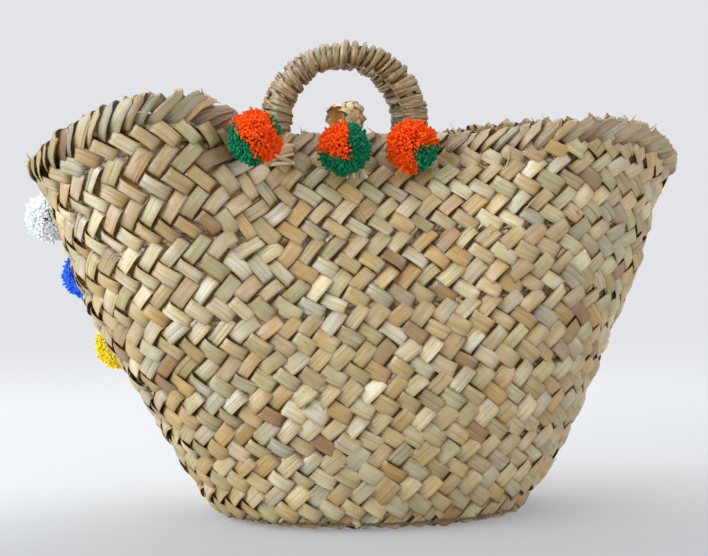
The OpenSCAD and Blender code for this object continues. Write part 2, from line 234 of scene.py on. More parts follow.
def wall(t, angle):
    """Middle of the wall at a share t of its height and an angle round the mouth."""
    t, angle = np.broadcast_arrays(np.asarray(t, float), np.asarray(angle, float))
    below = np.clip(1 - t, 0, None)
    above = np.clip(t, 0, None)
    c, s = np.cos(angle), np.sin(angle)
    flare = LIP_FLARE*ease((t - LIP_START)/(1 - LIP_START))
    a = FOOT_LENGTH/2 + (RIM_LENGTH - FOOT_LENGTH)/2*(1 - below**LENGTH_CURVE) + flare
    b = FOOT_DEPTH/2 + (RIM_DEPTH - FOOT_DEPTH)/2*(1 - below**DEPTH_CURVE) + LIP_DEPTH_SHARE*flare
    across = a*c*(1 + SQUARENESS*s*s)
    x = across + RIM_SHIFT*(1 - below**2)
    y = b*s*(1 + SQUARENESS*c*c)
    fade = 1 - ease((np.abs(x - HANDLE_X) - PINCH_FLAT)/(PINCH_END - PINCH_FLAT))
    lift = rim_lift(across/a*(RIM_LENGTH/2 + LIP_FLARE))
    z = FOOT_Z + (RIM_HEIGHT - FOOT_Z)*t + above**LIFT_CURVE*lift + foot_rise(angle)*below**FOOT_LIFT_CURVE
    return np.stack([x, y*(1 - PINCH*above**PINCH_CURVE*fade), z], -1)


def wall_frame(t, angle):
    """Place, direction round the wall, direction up it and direction out of it."""
    t, angle = np.broadcast_arrays(np.asarray(t, float), np.asarray(angle, float))
    turn, rise = math.radians(1), 0.02
    along = unit(wall(t, angle + turn) - wall(t, angle - turn))
    climb = wall(np.minimum(1, t + rise), angle) - wall(t - rise, angle)
    out = unit(np.cross(along, climb))
    return wall(t, angle), along, np.cross(out, along), out


def angle_at(t, x, side):
    """Angle at which the wall reaches x, on the front (side -1) or the rear (side 1)."""
    low, high = 0.0, math.pi
    for _ in range(ANGLE_TRIES):
        middle = (low + high)/2
        if wall(t, side*middle)[0] > x:
            low = middle
        else:
            high = middle
    return side*low


def row_height(share, angle):
    """Height share of the wall at a share of the plait's rows, which sag a little to the left."""
    share, angle = np.broadcast_arrays(np.asarray(share, float), np.asarray(angle, float))
    reach = np.cos(angle)*(1 + SQUARENESS*np.sin(angle)**2)
    lift = np.where(reach < 0, rim_lift(reach*(RIM_LENGTH/2 + LIP_FLARE)), 0)
    sag = ROW_SAG*ease((SAG_START - reach)/SAG_REACH)*np.sin(math.pi*np.clip(share, 0, 1))
    kept = np.clip(share, 0, None)
    even = share + ROW_SPREAD*kept*np.clip(1 - share, 0, None)
    t = even
    for _ in range(ROW_TRIES):
        change = (kept**ROW_CURVE - np.clip(t, 0, None)**LIFT_CURVE)*lift - sag
        t = even + change/(RIM_HEIGHT - FOOT_Z)
    return t


def wall_row(share, angle):
    return wall(row_height(share, angle), angle)


def turn_step(u):
    """Fractional step of a table round the wall, at a share u of the way."""
    return (u - np.floor(u))*(TURN_STEPS - 1)


def even_angles(place, t):
    """Angles that share one level of the wall into equal lengths."""
    angle = np.linspace(0, FULL_TURN, 2*TURN_STEPS)
    length = lengths(place(t, angle))
    return np.interp(np.linspace(0, 1, TURN_STEPS), length/length[-1], angle)


EVEN = np.array([even_angles(wall, level) for level in np.linspace(0, 1, LEVELS)])


def between(table, a, b):
    """Value of a table at fractional places a along its columns and b along its rows."""
    i = np.minimum(a.astype(int), table.shape[1] - 2)
    j = np.minimum(b.astype(int), table.shape[0] - 2)
    fa, fb = a - i, b - j
    low = table[j, i]*(1 - fa) + table[j, i + 1]*fa
    high = table[j + 1, i]*(1 - fa) + table[j + 1, i + 1]*fa
    return low*(1 - fb) + high*fb


def stray(waves, t, u):
    """Sum of waves over the wall that calms down at the foot and the rim."""
    total = sum(size*np.sin(FULL_TURN*(round_*u + up*t + start)) for size, round_, up, start in waves)
    return total*np.sin(math.pi*np.clip(t, 0, 1))


def on_wall(t, kept, angle, u):
    """Place, up and out of the dented wall at rows t, which go straight on past the kept rows."""
    place, _, up, out = wall_frame(row_height(kept, angle), angle)
    dent = DENT_DEPTH*stray(DENT_WAVES, kept, u)
    return place + up*((t - kept)*WALL_CLIMB)[..., None] + out*dent[..., None], up, out


def wall_sheet(t, u):
    """Place, up and out of the wall at a height share t and a share u of the way round."""
    t = t + ROW_STRAY*stray(ROW_WAVES, t, u)
    kept = np.clip(t, 0, 1)
    return on_wall(t, kept, between(EVEN, turn_step(u), kept*(LEVELS - 1)), u)


class Sheet:
    """Part of the wall between two heights, whose columns stand square to its rows."""

    levels = 9

    def __init__(self, low, high):
        self.low, self.high = low, high
        heights = np.linspace(low, high, self.levels)
        middle = self.levels//2
        rows = [even_angles(wall_row, heights[middle])]*self.levels
        for way, last in ((1, self.levels), (-1, -1)):
            for j in range(middle + way, last, way):
                rows[j] = self.square(heights[j - way], heights[j], rows[j - way])
        self.table = np.array(rows)

    @staticmethod
    def square(below, above, angle):
        """Angles at a second height that lie straight over angles at a first."""
        moved = angle
        little = 0.001
        for _ in range(SQUARE_TRIES):
            step = wall_row(above, moved) - wall_row(below, angle)
            slope = (wall_row(above, moved + little) - wall_row(above, moved - little))/(2*little)
            moved = moved - (step*slope).sum(-1)/(slope*slope).sum(-1)
        return moved

    def __call__(self, t, u):
        t = t + ROW_STRAY*stray(ROW_WAVES, t, u)
        kept = np.clip(t, max(0, self.low), min(1, self.high))
        share = (kept - self.low)/(self.high - self.low)
        return on_wall(t, kept, between(self.table, turn_step(u), share*(self.levels - 1)), u)


def girth(t):
    return lengths(wall(t, np.linspace(0, FULL_TURN, TURN_STEPS)))[-1]


# Shape of the base

def closed_outline(points, count):
    """Even points round a closed outline, from its rightmost place."""
    points = np.vstack([points, points[:1]])
    length = lengths(points)
    share = np.linspace(0, 1, count)*length[-1]
    return np.stack([np.interp(share, length, points[:, k]) for k in (0, 1)], -1)


def stadium(half, r):
    """Outline with straight sides and round ends, from its rightmost place."""
    a = np.linspace(-math.pi/2, math.pi/2, END_STEPS)
    right = np.stack([half + r*np.cos(a), r*np.sin(a)], -1)
    return np.roll(np.vstack([right, -right]), -(END_STEPS//2), axis=0)


def base_edge():
    """Edge of the base, a little inside the foot of the wall, and the foot of the rows over it."""
    angle = EVEN[0]
    foot = wall(foot_share(angle), angle)
    ahead = unit(np.gradient(foot[:, :2], axis=0))
    ahead[0] = ahead[-1] = (0, 1)
    edge = foot.copy()
    edge[:, :2] -= RING_INSET*np.stack([ahead[:, 1], -ahead[:, 0]], -1)
    edge[:, 2] = BASE_MIDDLE
    low, _, up, out = wall_frame(np.zeros_like(angle), angle)
    return edge, low + up*TURN_UP - out*TURN_IN


RING_LOW = np.column_stack([closed_outline(stadium(CORE_HALF, RING_INNER), TURN_STEPS),
                            np.full(TURN_STEPS, BASE_MIDDLE)])
RING_EDGE, RING_TOP = base_edge()


def along_line(line, a):
    """Values of a line's columns at fractional places a."""
    i = np.minimum(a.astype(int), len(line) - 2)
    share = (a - i)[..., None]
    return line[i]*(1 - share) + line[i + 1]*share


def ring_place(t, u):
    """First turn of the coil, flat from the middle plait (t 0) and turned up to the wall (t 1)."""
    low, edge, top = (along_line(line, turn_step(u)) for line in (RING_LOW, RING_EDGE, RING_TOP))
    flat = np.linalg.norm(edge - low, axis=-1)
    stand = np.linalg.norm(top - edge, axis=-1)
    run = t*(flat + stand) - flat
    soft = np.minimum(BEND_SOFT, SOFT_SHARE*stand)
    share = np.clip((run + soft)/(2*soft), 0, 1)
    first = edge + unit(edge - low)*np.where(run < -soft, run, -soft)[..., None]
    last = edge + unit(top - edge)*np.where(run > soft, run, soft)[..., None]
    return (first*((1 - share)**2)[..., None] + edge*(2*share*(1 - share))[..., None]
            + last*(share**2)[..., None])


def ring_sheet(t, u):
    """Place, up and out of the first turn of the coil."""
    t = np.broadcast_to(t, u.shape)
    little = 0.004
    up = unit(ring_place(t + little, u) - ring_place(t - little, u))
    along = unit(ring_place(t, u + little) - ring_place(t, u - little))
    return ring_place(t, u), up, unit(np.cross(along, up))


def core_sheet(t, u):
    """Flat middle plait with round ends, u along its length and t across it."""
    x = (u - 0.5)*2*(CORE_HALF + CORE_R)
    end = np.clip(np.abs(x) - CORE_HALF, 0, CORE_R)
    half = np.sqrt(np.maximum(CORE_R**2 - end**2, 1.0))
    place = np.stack([-x, (2*t - 1)*half, np.full_like(x, BASE_MIDDLE)], -1)
    up = np.broadcast_to(np.array([0.0, 1.0, 0.0]), place.shape)
    return place, up, np.broadcast_to(np.array([0.0, 0.0, -1.0]), place.shape)


# Meshes of leaves and yarns

LEAF_ACROSS = np.array([-1.0, -0.5, 0.5, 1.0])
LEAF_CAPS = ((0, 1, 6, 7), (1, 2, 5, 6), (2, 3, 4, 5))
# Share of a leaf's thickness that is lost at its edges, and length of a strand in its UV map for each mm
EDGE_THIN = 0.55
UV_SCALE = 0.01
SHARP_EDGE = math.radians(50)


def lay(path, face, twist=0.0):
    """Side and face directions of leaves that follow paths, turned by twist about them."""
    ahead = unit(np.gradient(path, axis=-2))
    side = unit(np.cross(ahead, face))
    front = np.cross(side, ahead)
    c, s = np.cos(twist)[..., None], np.sin(twist)[..., None]
    return side*c + front*s, front*c - side*s


class Strands:
    """Collects leaves and yarns, each a closed strand, and makes one mesh of them."""

    def __init__(self):
        self.points = []
        self.faces = []
        self.uvs = []
        self.tints = []
        self.count = 0

    def rings(self, ring, across, path, tint, caps):
        """Joins sections, ring[strand, step, corner], into closed strands."""
        strands, steps, corners = ring.shape[:3]
        index = self.count + np.arange(strands*steps*corners).reshape(strands, steps, corners)
        following = np.roll(index, -1, axis=2)
        sides = np.stack([index[:, :-1], following[:, :-1], following[:, 1:], index[:, 1:]], -1)
        self.faces += sides.reshape(-1, 4).tolist()
        for cap in caps:
            cap = np.array(cap)
            self.faces += index[:, 0][:, cap[::-1]].tolist()
            self.faces += index[:, -1][:, cap].tolist()
        steps_long = np.linalg.norm(np.diff(path, axis=1), axis=2)
        length = np.concatenate([np.zeros((strands, 1)), np.cumsum(steps_long, axis=1)], axis=1)
        uv = np.empty((strands, steps, corners, 2))
        uv[..., 0] = across
        uv[..., 1] = length[:, :, None]*UV_SCALE
        self.points.append(ring.reshape(-1, 3))
        self.uvs.append(uv.reshape(-1, 2))
        self.tints.append(np.broadcast_to(tint[:, :, None], (strands, steps, corners, 4)).reshape(-1, 4))
        self.count += strands*steps*corners

    def leaves(self, path, side, front, half, thick, crown, tint):
        """Flat leaves with a half width, thickness and crown, all over or at each step of each path."""
        half, thick, crown = (np.broadcast_to(v, path.shape[:2])[..., None] for v in (half, thick, crown))
        a = LEAF_ACROSS
        rise = crown*(1 - a*a)
        skin = thick*(1 - EDGE_THIN*a**4)/2
        flat = path[:, :, None] + side[:, :, None]*(half*a)[..., None]
        top = flat + front[:, :, None]*(rise + skin)[..., None]
        low = flat + front[:, :, None]*(rise - skin)[..., None]
        ring = np.concatenate([top, low[:, :, ::-1]], axis=2)
        across = np.concatenate([(a + 1)/2, (a[::-1] + 1)/2])
        self.rings(ring, across, path, tint, LEAF_CAPS)

    def leaf(self, path, face, twist, half, thick, crown, tint):
        """One leaf along a path, turned by a twist."""
        path = path[None]
        side, front = lay(path, np.broadcast_to(face, path.shape), twist)
        self.leaves(path, side, front, half, thick, crown, tint)

    def yarns(self, path, face, radius, tint, corners=6):
        """Round strands of a radius, all over or at each step of each path."""
        radius = np.broadcast_to(radius, path.shape[:2])
        side, front = lay(path, face)
        a = -np.arange(corners)*FULL_TURN/corners
        spoke = side[:, :, None]*np.cos(a)[:, None] + front[:, :, None]*np.sin(a)[:, None]
        ring = path[:, :, None] + spoke*radius[..., None, None]
        self.rings(ring, np.arange(corners)/corners, path, tint, (tuple(range(corners)),))

    def build(self, name, slot):
        """Makes the mesh, with the finish of a slot."""
        mesh = bpy.data.meshes.new(name)
        mesh.from_pydata((np.concatenate(self.points)*MM).tolist(), [], self.faces)
        corner = np.empty(len(mesh.loops), int)
        mesh.loops.foreach_get("vertex_index", corner)
        layer = mesh.uv_layers.new(name="strand")
        layer.data.foreach_set("uv", np.concatenate(self.uvs)[corner].astype(np.float32).ravel())
        tint = mesh.attributes.new("tint", "FLOAT_COLOR", "POINT")
        tint.data.foreach_set("color", np.concatenate(self.tints).astype(np.float32).ravel())
        mesh.materials.append(finish(slot))
        piece = bpy.data.objects.new(name, mesh)
        bpy.context.scene.collection.objects.link(piece)
        bpy.ops.object.select_all(action="DESELECT")
        piece.select_set(True)
        bpy.context.view_layer.objects.active = piece
        bpy.ops.object.shade_smooth_by_angle(angle=SHARP_EDGE)
        return piece

    def settle(self, name, body, slot, *nodes):
        """Makes the mesh with the finish of a slot, hangs it from the empty of the body it moves with and
        hides the solids it stands for.
        """
        piece = self.build(name, slot)
        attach(piece, body)
        if nodes:
            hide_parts(*nodes)


# Colours of leaves: straw, cream, sage, honey, blush, ash and umber, and the share of each
LEAF_SHARES = np.array([0.23, 0.20, 0.19, 0.13, 0.10, 0.11, 0.04])
RIM_SHARES = np.array([0.27, 0.08, 0.16, 0.20, 0.14, 0.04, 0.11])
WRAP_SHARES = np.array([0.22, 0.08, 0.06, 0.30, 0.20, 0.02, 0.12])
LOOP_SHARES = np.array([0.28, 0.34, 0.04, 0.16, 0.18, 0.0, 0.0])
ROPE_SHADES = [0, 2, 3, 6]
HANDLE_SHADES = [0, 3, 6]
CORD_SHADES = [0, 3]
LASH_SHADES = [0, 1, 1]
# Most of another shade that a float takes, and how far floats differ in tone
OTHER_SHADE = 0.8
LEAF_TONE = 0.3
# How fast red, green and blue fade in the painted shade between leaves, how deep it is and where it ends
SHADE_BROWN = np.array([1.0, 1.3, 1.8])
SHADE_DEPTH = 0.72
SHADE_END = 0.85


def leaf_shades():
    c = bpy.context.scene.basket_colours
    shades = [c.straw, c.cream, c.sage, c.honey, c.blush, c.ash, c.umber]
    return np.array([list(s) for s in shades])


def leaf_tints(rng, strands, floats, shares=LEAF_SHARES):
    """Tint of each float of each leaf: mostly the leaf's own shade, with some of another."""
    shades = leaf_shades()
    own = shades[rng.choice(len(shades), strands, p=shares)]
    other = shades[rng.choice(len(shades), (strands, floats), p=shares)]
    share = rng.random((strands, floats, 1))**2*OTHER_SHADE
    tone = 1 + (rng.random((strands, floats, 1)) - 0.5)*LEAF_TONE
    colour = (own[:, None]*(1 - share) + other*share)*tone
    seed = np.broadcast_to(rng.random((strands, 1, 1)), (strands, floats, 1))
    return np.concatenate([colour, seed], -1)


def plain_tints(rng, count, shades, tone=0.16):
    """Tints near a few shades, one for each strand."""
    shades = np.array([list(s) for s in shades])
    colour = shades[rng.integers(len(shades), size=count)]
    change = 1 + (rng.random((count, 1)) - 0.5)*2*tone
    return np.concatenate([colour*change, rng.random((count, 1))], -1)


def painted_shade(tint, ride):
    """Tint with painted shade: darker and browner where a leaf dives between its neighbours."""
    tint = tint.copy()
    tint[..., :3] *= (1 - SHADE_DEPTH + SHADE_DEPTH*ease(np.abs(ride)/SHADE_END))[..., None]**SHADE_BROWN
    return tint


# Plait. Pairs are a least value and what luck adds to it

# Rows in one repeat, two over and two under, and how far right-leaning leaves lap over the next rows
REPEAT = 4
LAP = 0.06
DIVE_SHARP = 3.2
# Steps along a leaf from where it dives between its neighbours, in rows
DIVE_STEPS = np.array([-0.7, -0.4, -0.22, -0.12, -0.04, 0.04, 0.12, 0.22, 0.4, 0.7])
LEAST_STEP = 0.04
# Where leaves start and end at the edges of a plait, in rows past its first row and before its last
EDGE_START = -0.44
EDGE_END = 0.56
# Rows inside a band at which a leaf that ends inside stops turning outwards
KEEP_LOW = 0.2
KEEP_HIGH = 1.2
# How far the right-leaning leaves stand steeper than the left-leaning ones
SKEW = 0.08
# How much wider a leaf lies on the inside, where it closes the gaps, and how much narrower its outer ends are
FULLER = 0.2
PINCHED = 0.03
# Painted shade: how much darker a leaf is at the ends of a float, where it curves down, than in its middle
PILLOW_SHADE = 0.2
PILLOW_CURVE = 2.5
# How unevenly leaves and their floats lie
DRIFT = 0.2
SWAY = 0.07
SWAY_PITCH = 0.9
FLOAT_SHIFT = 0.16
FLOAT_BOW = 0.32
FLOAT_HEIGHT = (0.92, 0.5)
FLOAT_TILT = 0.3
FLOAT_TWIST = 0.6
FLOAT_WIDTH = (0.94, 0.14)
FLOAT_CROWN = (0.1, 0.8)
# Painted light and shade along a float: one end lighter and the other darker, as if the float were tipped to
# the lamp
FLOAT_SHADE_SLOPE = 0.34
LEAF_WIDTH = (0.82, 0.28)
# Second leaves: place across the leaf, height over it, width, tone, thickness and crown
SLIVER_EDGE = (0.45, 0.25)
SLIVER_OUT = 0.62
SLIVER_WIDTH = (0.2, 0.3)
SLIVER_TONE = (0.84, 0.3)
SLIVER_THICK = 0.8
SLIVER_CROWN = 0.5


def over(row, lean):
    """Whether the leaf that leans right (1) or left (-1) is outside at a row."""
    return (row % REPEAT in (2, 3)) == (lean > 0)


def wave(row):
    """Place of a right-leaning leaf between inside (-1) and outside (1)."""
    return np.tanh(DIVE_SHARP*(np.cos(FULL_TURN*(row - 2.5)/REPEAT) + math.sin(math.pi/2*LAP)))


def slivers(strands, path, side, front, half, crown, tint, rng, share):
    """Narrow second leaves that lie along one edge of some leaves."""
    count = len(path)
    double = rng.random(count) < share
    edge = np.where(rng.random((count, 1)) < 0.5, -1, 1)*ranged(rng.random((count, 1)), *SLIVER_EDGE)
    again = path + front*SLIVER_OUT + side*(half*edge)[..., None]
    slim = half*ranged(rng.random((count, 1)), *SLIVER_WIDTH)
    tone = ranged(rng.random((count, 1, 1)), *SLIVER_TONE)
    spare = tint*np.concatenate([np.repeat(tone, 3, axis=2), np.ones_like(tone)], axis=2)
    strands.leaves(again[double], side[double], front[double], slim[double], LEAF_THICK*SLIVER_THICK,
                   crown[double]*SLIVER_CROWN, spare[double])


def leaf_rows(low, high):
    """Rows at which a leaf has a section, the float each is on and its place along that float."""
    k = np.arange(math.floor(low/2) - 1, math.ceil(high/2) + 2)
    dives = 2*k - 0.5 + np.where(k % 2, -LAP, LAP)
    rows = (dives[:, None] + DIVE_STEPS).ravel()
    inner = rows[(rows > low + LEAST_STEP) & (rows < high - LEAST_STEP)]
    rows = np.concatenate([[low], inner, [high]])
    which = np.searchsorted(dives, rows)
    before, after = dives[which - 1], dives[which]
    return rows, which - which.min(), (2*rows - before - after)/(after - before)


def plait_leaves(strands, sheet, columns, start, low, high, first, total, lean, rng, height, width,
                 shares=LEAF_SHARES, skew=0, keep=(-math.inf, math.inf)):
    """Leaves of one lean that run from row low to row high above the first, two over and two under.

    Past the rows in keep they stay on the side they are on there.
    """
    row, which, beyond = leaf_rows(first + low, first + high)
    m = row - first
    floats = which.max() + 1
    count = len(start)
    luck = rng.random((count, floats, 7))[:, which]
    own = rng.random((count, 4))[:, None]
    ride = wave(np.clip(row, first + keep[0], first + keep[1]))
    bare = np.abs(ride)
    drift = (own[..., 0] - 0.5)*DRIFT + SWAY*np.sin(row*SWAY_PITCH + own[..., 1]*FULL_TURN)
    shift = (luck[..., 5] - 0.5)*FLOAT_SHIFT*bare**2
    u = (2*start[:, None] + (lean - skew)*m + drift + shift)/(2*columns)
    t = np.broadcast_to((row - (0 if total == WALL_ROWS else first) + 0.5)/total, u.shape)
    place, _, out = sheet(t, u)
    bow = (1 - FLOAT_BOW*beyond**2)*ranged(luck[..., 0], *FLOAT_HEIGHT)
    bow = bow + FLOAT_TILT*(luck[..., 4] - 0.5)*beyond
    path = place + out*(lean*ride*height*bow)[..., None]
    calm = min(1, height/FULL_HEIGHT)
    side, front = lay(path, out, (SHINGLE + (luck[..., 1] - 0.5)*FLOAT_TWIST)*bare*calm)
    outside = ease(lean*ride)
    fit = 1 + FULLER*(1 - outside) - PINCHED*outside*beyond**2
    half = width/2*ranged(own[..., 2], *LEAF_WIDTH)*ranged(luck[..., 2], *FLOAT_WIDTH)*fit
    crown = lean*ride*ranged(luck[..., 3]**2, *FLOAT_CROWN)*calm
    # Painted shade where the leaf dives between its neighbours
    tint = painted_shade(leaf_tints(rng, count, floats, shares)[:, which], wave(row))
    # Painted light and shade: one end of each float lighter and the other darker, as if tipped to the lamp
    tint[..., :3] *= (1 + FLOAT_SHADE_SLOPE*(luck[..., 6] - 0.5)*beyond)[..., None]
    # Painted shade: each float darker towards its ends, where it curves down
    tint[..., :3] *= (1 - PILLOW_SHADE*np.abs(beyond)**PILLOW_CURVE)[..., None]**SHADE_BROWN
    strands.leaves(path, side, front, half, LEAF_THICK, crown, tint)
    slivers(strands, path, side, front, half, crown, tint, rng, DOUBLED)


def plait(strands, sheet, columns, first, rows, total, rng, height, width):
    """One closed band of plait, whose outer leaves tuck under the bands above and below."""
    for lean in (1, -1):
        tuck = FOOT_TUCK if first == 0 and total == WALL_ROWS else TUCK
        under_low, under_high = not over(first, lean), not over(first + rows - 1, lean)
        low = -0.5 - (UNDER if under_low else tuck)
        high = rows - 0.5 + (UNDER if under_high else TUCK)
        keep = (KEEP_LOW if under_low else -math.inf, rows - KEEP_HIGH if under_high else math.inf)
        plait_leaves(strands, sheet, columns, np.arange(columns), low, high, first, total, lean, rng,
                     height, width, skew=SKEW, keep=keep)


def open_plait(strands, sheet, columns, rows, rng, height, width, shares=LEAF_SHARES):
    """One straight band of plait, whose leaves stop at its ends."""
    short, least = 0.1, 0.5
    for lean in (1, -1):
        for start in range(-rows, columns + rows):
            ends = sorted((lean*(short - 2*start), lean*(2*columns - short - 2*start)))
            low, high = max(EDGE_START, ends[0]), min(rows - EDGE_END, ends[1])
            if high - low > least:
                plait_leaves(strands, sheet, columns, np.array([start]), low, high, 0, rows, lean, rng,
                             height, width, shares)


# Rim

# Height share at which the rim's leaves are counted, length of rim for each and the part of the wall for them
RIM_GIRTH = 0.96
RIM_PITCH = 9.2
INNER_PITCH = 15
RIM_PART = (0.88, 1.0)
# Rows at which a leaf turns over the rim's outside and folds over its edge, and rows in which it swells
BEND_ROW = 1.5
FOLD_ROW = 3.45
BULGE_ROWS = 1.1
RIM_STEPS = 9
BACK_STEPS = 7
# How far a leaf runs on along the rim in the fold and inside, in half columns, and how far down it goes
FOLD_RUN = 0.55
BACK_RUN = 1.7
RIM_TOP = 0.9989
BACK_DROP = 0.052
BACK_IN = 0.1
# How unevenly the folded leaves lie
RIM_RISE = (0.6, 1.4)
TALL_RISE = 1.6
TALL_LUCK = 0.85
RIM_REACH = (2.2, 1.7)
RIM_STEEP = (1.35, 0.8)
RIM_DRIFT = 0.7
RIM_TWIST = (0.28, 0.36)
RIM_WIDTH = (0.5, 0.4)
RIM_CROWN = (0.2, 1.2)
# Painted shade on the rim's leaves, as a ride from dark (0) to clear (1): as they swell out over the bend,
# and where they are tucked into the plait below
RIM_BEND_SHADE = (0.25, 0.75)
TUCKED_SHADE = 0.2
TUCKED_WIDE = 1.4
BACK_WIDE = 1.25
RIM_TONE = 0.7
RIM_DOUBLED = 0.6
# Where the legs of the handles and the loop stand along the rim, the room they need and the rim's reach there
RIM_POSTS = np.array([HANDLE_X - HANDLE_HALF, LOOP_PIVOT[0], HANDLE_X + HANDLE_HALF])
POST_ROOM = 14
FLAT_REACH = 2.2
# How unevenly the left-leaning leaves lie
INNER_STEPS = 22
INNER_HEIGHT = (0.82, 0.5)
INNER_TWIST = 0.42
INNER_WIDTH = (0.93, 0.14)
INNER_CROWN = (0.2, 0.95)


def rim_leaves(strands, rng, height, width):
    """Leaves of the last half course, whose right-leaning ends fold over the edge to the inside."""
    columns = round(girth(RIM_GIRTH)/RIM_PITCH)
    sheet = Sheet(*RIM_PART)
    first = COURSES*COURSE_ROWS
    start = 2*np.arange(columns)[:, None]
    own = rng.random((columns, 9))
    rise = ranged(own[:, :1], *RIM_RISE) + TALL_RISE*(own[:, 1:2] > TALL_LUCK)
    reach = ranged(own[:, 2:3], *RIM_REACH)
    steep = ranged(own[:, 3:4], *RIM_STEEP)
    low = np.linspace(EDGE_START, BEND_ROW, RIM_STEPS)[:-1]
    mid = np.linspace(BEND_ROW, FOLD_ROW, RIM_STEPS)
    fold = np.linspace(0, math.pi, RIM_STEPS)[1:]
    back = np.linspace(0, 1, BACK_STEPS)[1:]
    ones = np.ones((columns, 1))
    bulge = np.sin(np.clip((mid - BEND_ROW)/BULGE_ROWS, 0, 1)*math.pi/2)
    x_mid = BEND_ROW + (mid - BEND_ROW)*steep
    x_fold = x_mid[:, -1:] + fold/math.pi*FOLD_RUN
    x_back = x_fold[:, -1:] + back*BACK_RUN
    x = start + np.hstack([low*ones, x_mid, x_fold, x_back])
    x = x + (own[:, 4:5] - 0.5)*RIM_DRIFT
    t = np.hstack([(first + low + 0.5)/WALL_ROWS, (first + mid + 0.5)/WALL_ROWS,
                   np.full(len(fold), RIM_TOP), RIM_TOP - back*BACK_DROP])*ones
    place, up, out = sheet(t, x/(2*columns))
    passed = np.abs(place[:, -1, :1] - RIM_POSTS).min(axis=1, keepdims=True) < POST_ROOM
    inner = np.where(passed, np.minimum(reach, FLAT_REACH), reach)
    over_edge = np.where(np.cos(fold) > 0, reach, inner)*np.cos(fold)
    deep = np.hstack([height*wave(first + low)*ones, bulge*reach, over_edge, -inner*(1 - BACK_IN*back)])
    lift = np.hstack([np.zeros(len(low) + len(mid))*ones, rise*np.sin(fold), np.zeros(len(back))*ones])
    turn = np.concatenate([np.zeros(len(low) + len(mid)), fold, np.full(len(back), math.pi)])*ones
    path = place + out*deep[..., None] + up*lift[..., None]
    face = out*np.cos(turn)[..., None] + up*np.sin(turn)[..., None]
    lapped = np.concatenate([np.zeros(len(low)), np.ones(len(mid) + len(fold)), np.zeros(len(back))])
    side, front = lay(path, face, lapped*ranged(own[:, 5:6] - 0.4, *RIM_TWIST))
    fuller = np.concatenate([np.full(len(low), TUCKED_WIDE), np.linspace(TUCKED_WIDE, 1, len(mid)),
                             np.ones(len(fold)), np.full(len(back), BACK_WIDE)])
    half = width/2*ranged(own[:, 6:7], *RIM_WIDTH)*fuller
    crown = lapped*ranged(own[:, 7:8], *RIM_CROWN)
    # Painted shade: darkest where a leaf is tucked into the plait, lightening as it swells out over the bend
    dark = np.concatenate([np.full(len(low), TUCKED_SHADE), ranged(bulge, *RIM_BEND_SHADE),
                           np.ones(len(fold) + len(back))])*ones
    tint = np.repeat(leaf_tints(rng, columns, 2, RIM_SHARES), [len(low), x.shape[1] - len(low)], axis=1)
    tint = painted_shade(tint, dark)
    tint[..., :3] *= RIM_TONE
    strands.leaves(path, side, front, half, LEAF_THICK, crown, tint)
    slivers(strands, path, side, front, half, crown, tint, rng, RIM_DOUBLED)
    lean_left(strands, sheet, rng, height, width)


def lean_left(strands, sheet, rng, height, width):
    """Left-leaning leaves of the rim, outside below and inside under the fold."""
    columns = round(girth(RIM_GIRTH)/INNER_PITCH)
    m = np.linspace(-0.5 - TUCK, RIM_ROWS - EDGE_END, INNER_STEPS)
    row = COURSES*COURSE_ROWS + m
    which = np.floor((row + 0.5)/2).astype(int)
    which -= which.min()
    luck = rng.random((columns, which.max() + 1, 4))[:, which]
    own = rng.random((columns, 2))[:, None]
    x = 2*np.arange(columns)[:, None] - (1 + SKEW)*m + (own[..., 0] - 0.5)*DRIFT
    t = np.broadcast_to((row + 0.5)/WALL_ROWS, x.shape)
    place, _, out = sheet(t, x/(2*columns))
    ride = -wave(row)
    path = place + out*(ride*height*ranged(luck[..., 0], *INNER_HEIGHT))[..., None]
    side, front = lay(path, out, (luck[..., 1] - 0.5)*INNER_TWIST*np.abs(ride))
    half = width/2*ranged(own[..., 1], *LEAF_WIDTH)*ranged(luck[..., 2], *INNER_WIDTH)
    half = half*(1 + FULLER*(1 - ease(ride)))
    crown = ride*ranged(luck[..., 3]**2, *INNER_CROWN)
    # Painted shade where each leaf dives between its neighbours
    tint = painted_shade(leaf_tints(rng, columns, which.max() + 1, RIM_SHARES)[:, which], ride)
    strands.leaves(path, side, front, half, LEAF_THICK, crown, tint)
    slivers(strands, path, side, front, half, crown, tint, rng, DOUBLED)


# Loose fibres: how many, where they start and how they lie, and the leaf ends under the middle pompom
FIBRES = 110
FIBRE_STEPS = 7
ON_RIM = 0.6
RIM_STARTS = (0.97, 0.03)
WALL_STARTS = (0.04, 0.92)
FIBRE_LENGTH = (5, 9)
FIBRE_LEAN = (0.55, 0.7)
LEANS_RIGHT = 0.6
FIBRE_BOW = 0.5
FIBRE_OUT = 2.9
RIM_LIFT = 0.2
WALL_LIFT = 0.9
FIBRE_LIFT = 2.2
FIBRE_TWIST = 0.8
FIBRE_HALF = (0.3, 0.5)
FIBRE_TIP = 1.05
FIBRE_THICK = 0.35
FIBRE_CROWN = 0.1
TUFT_X = -25
TUFT_ENDS = 6
TUFT_STEPS = 9
TUFT_TOP = 0.948
TUFT_FOOT = 0.888
TUFT_LONG = 0.06
TUFT_FIRST = -7
TUFT_GAP = 2.8
TUFT_OUT = 3.4
TUFT_LIFT = 3.0
TUFT_HALF = (1.0, 0.7)


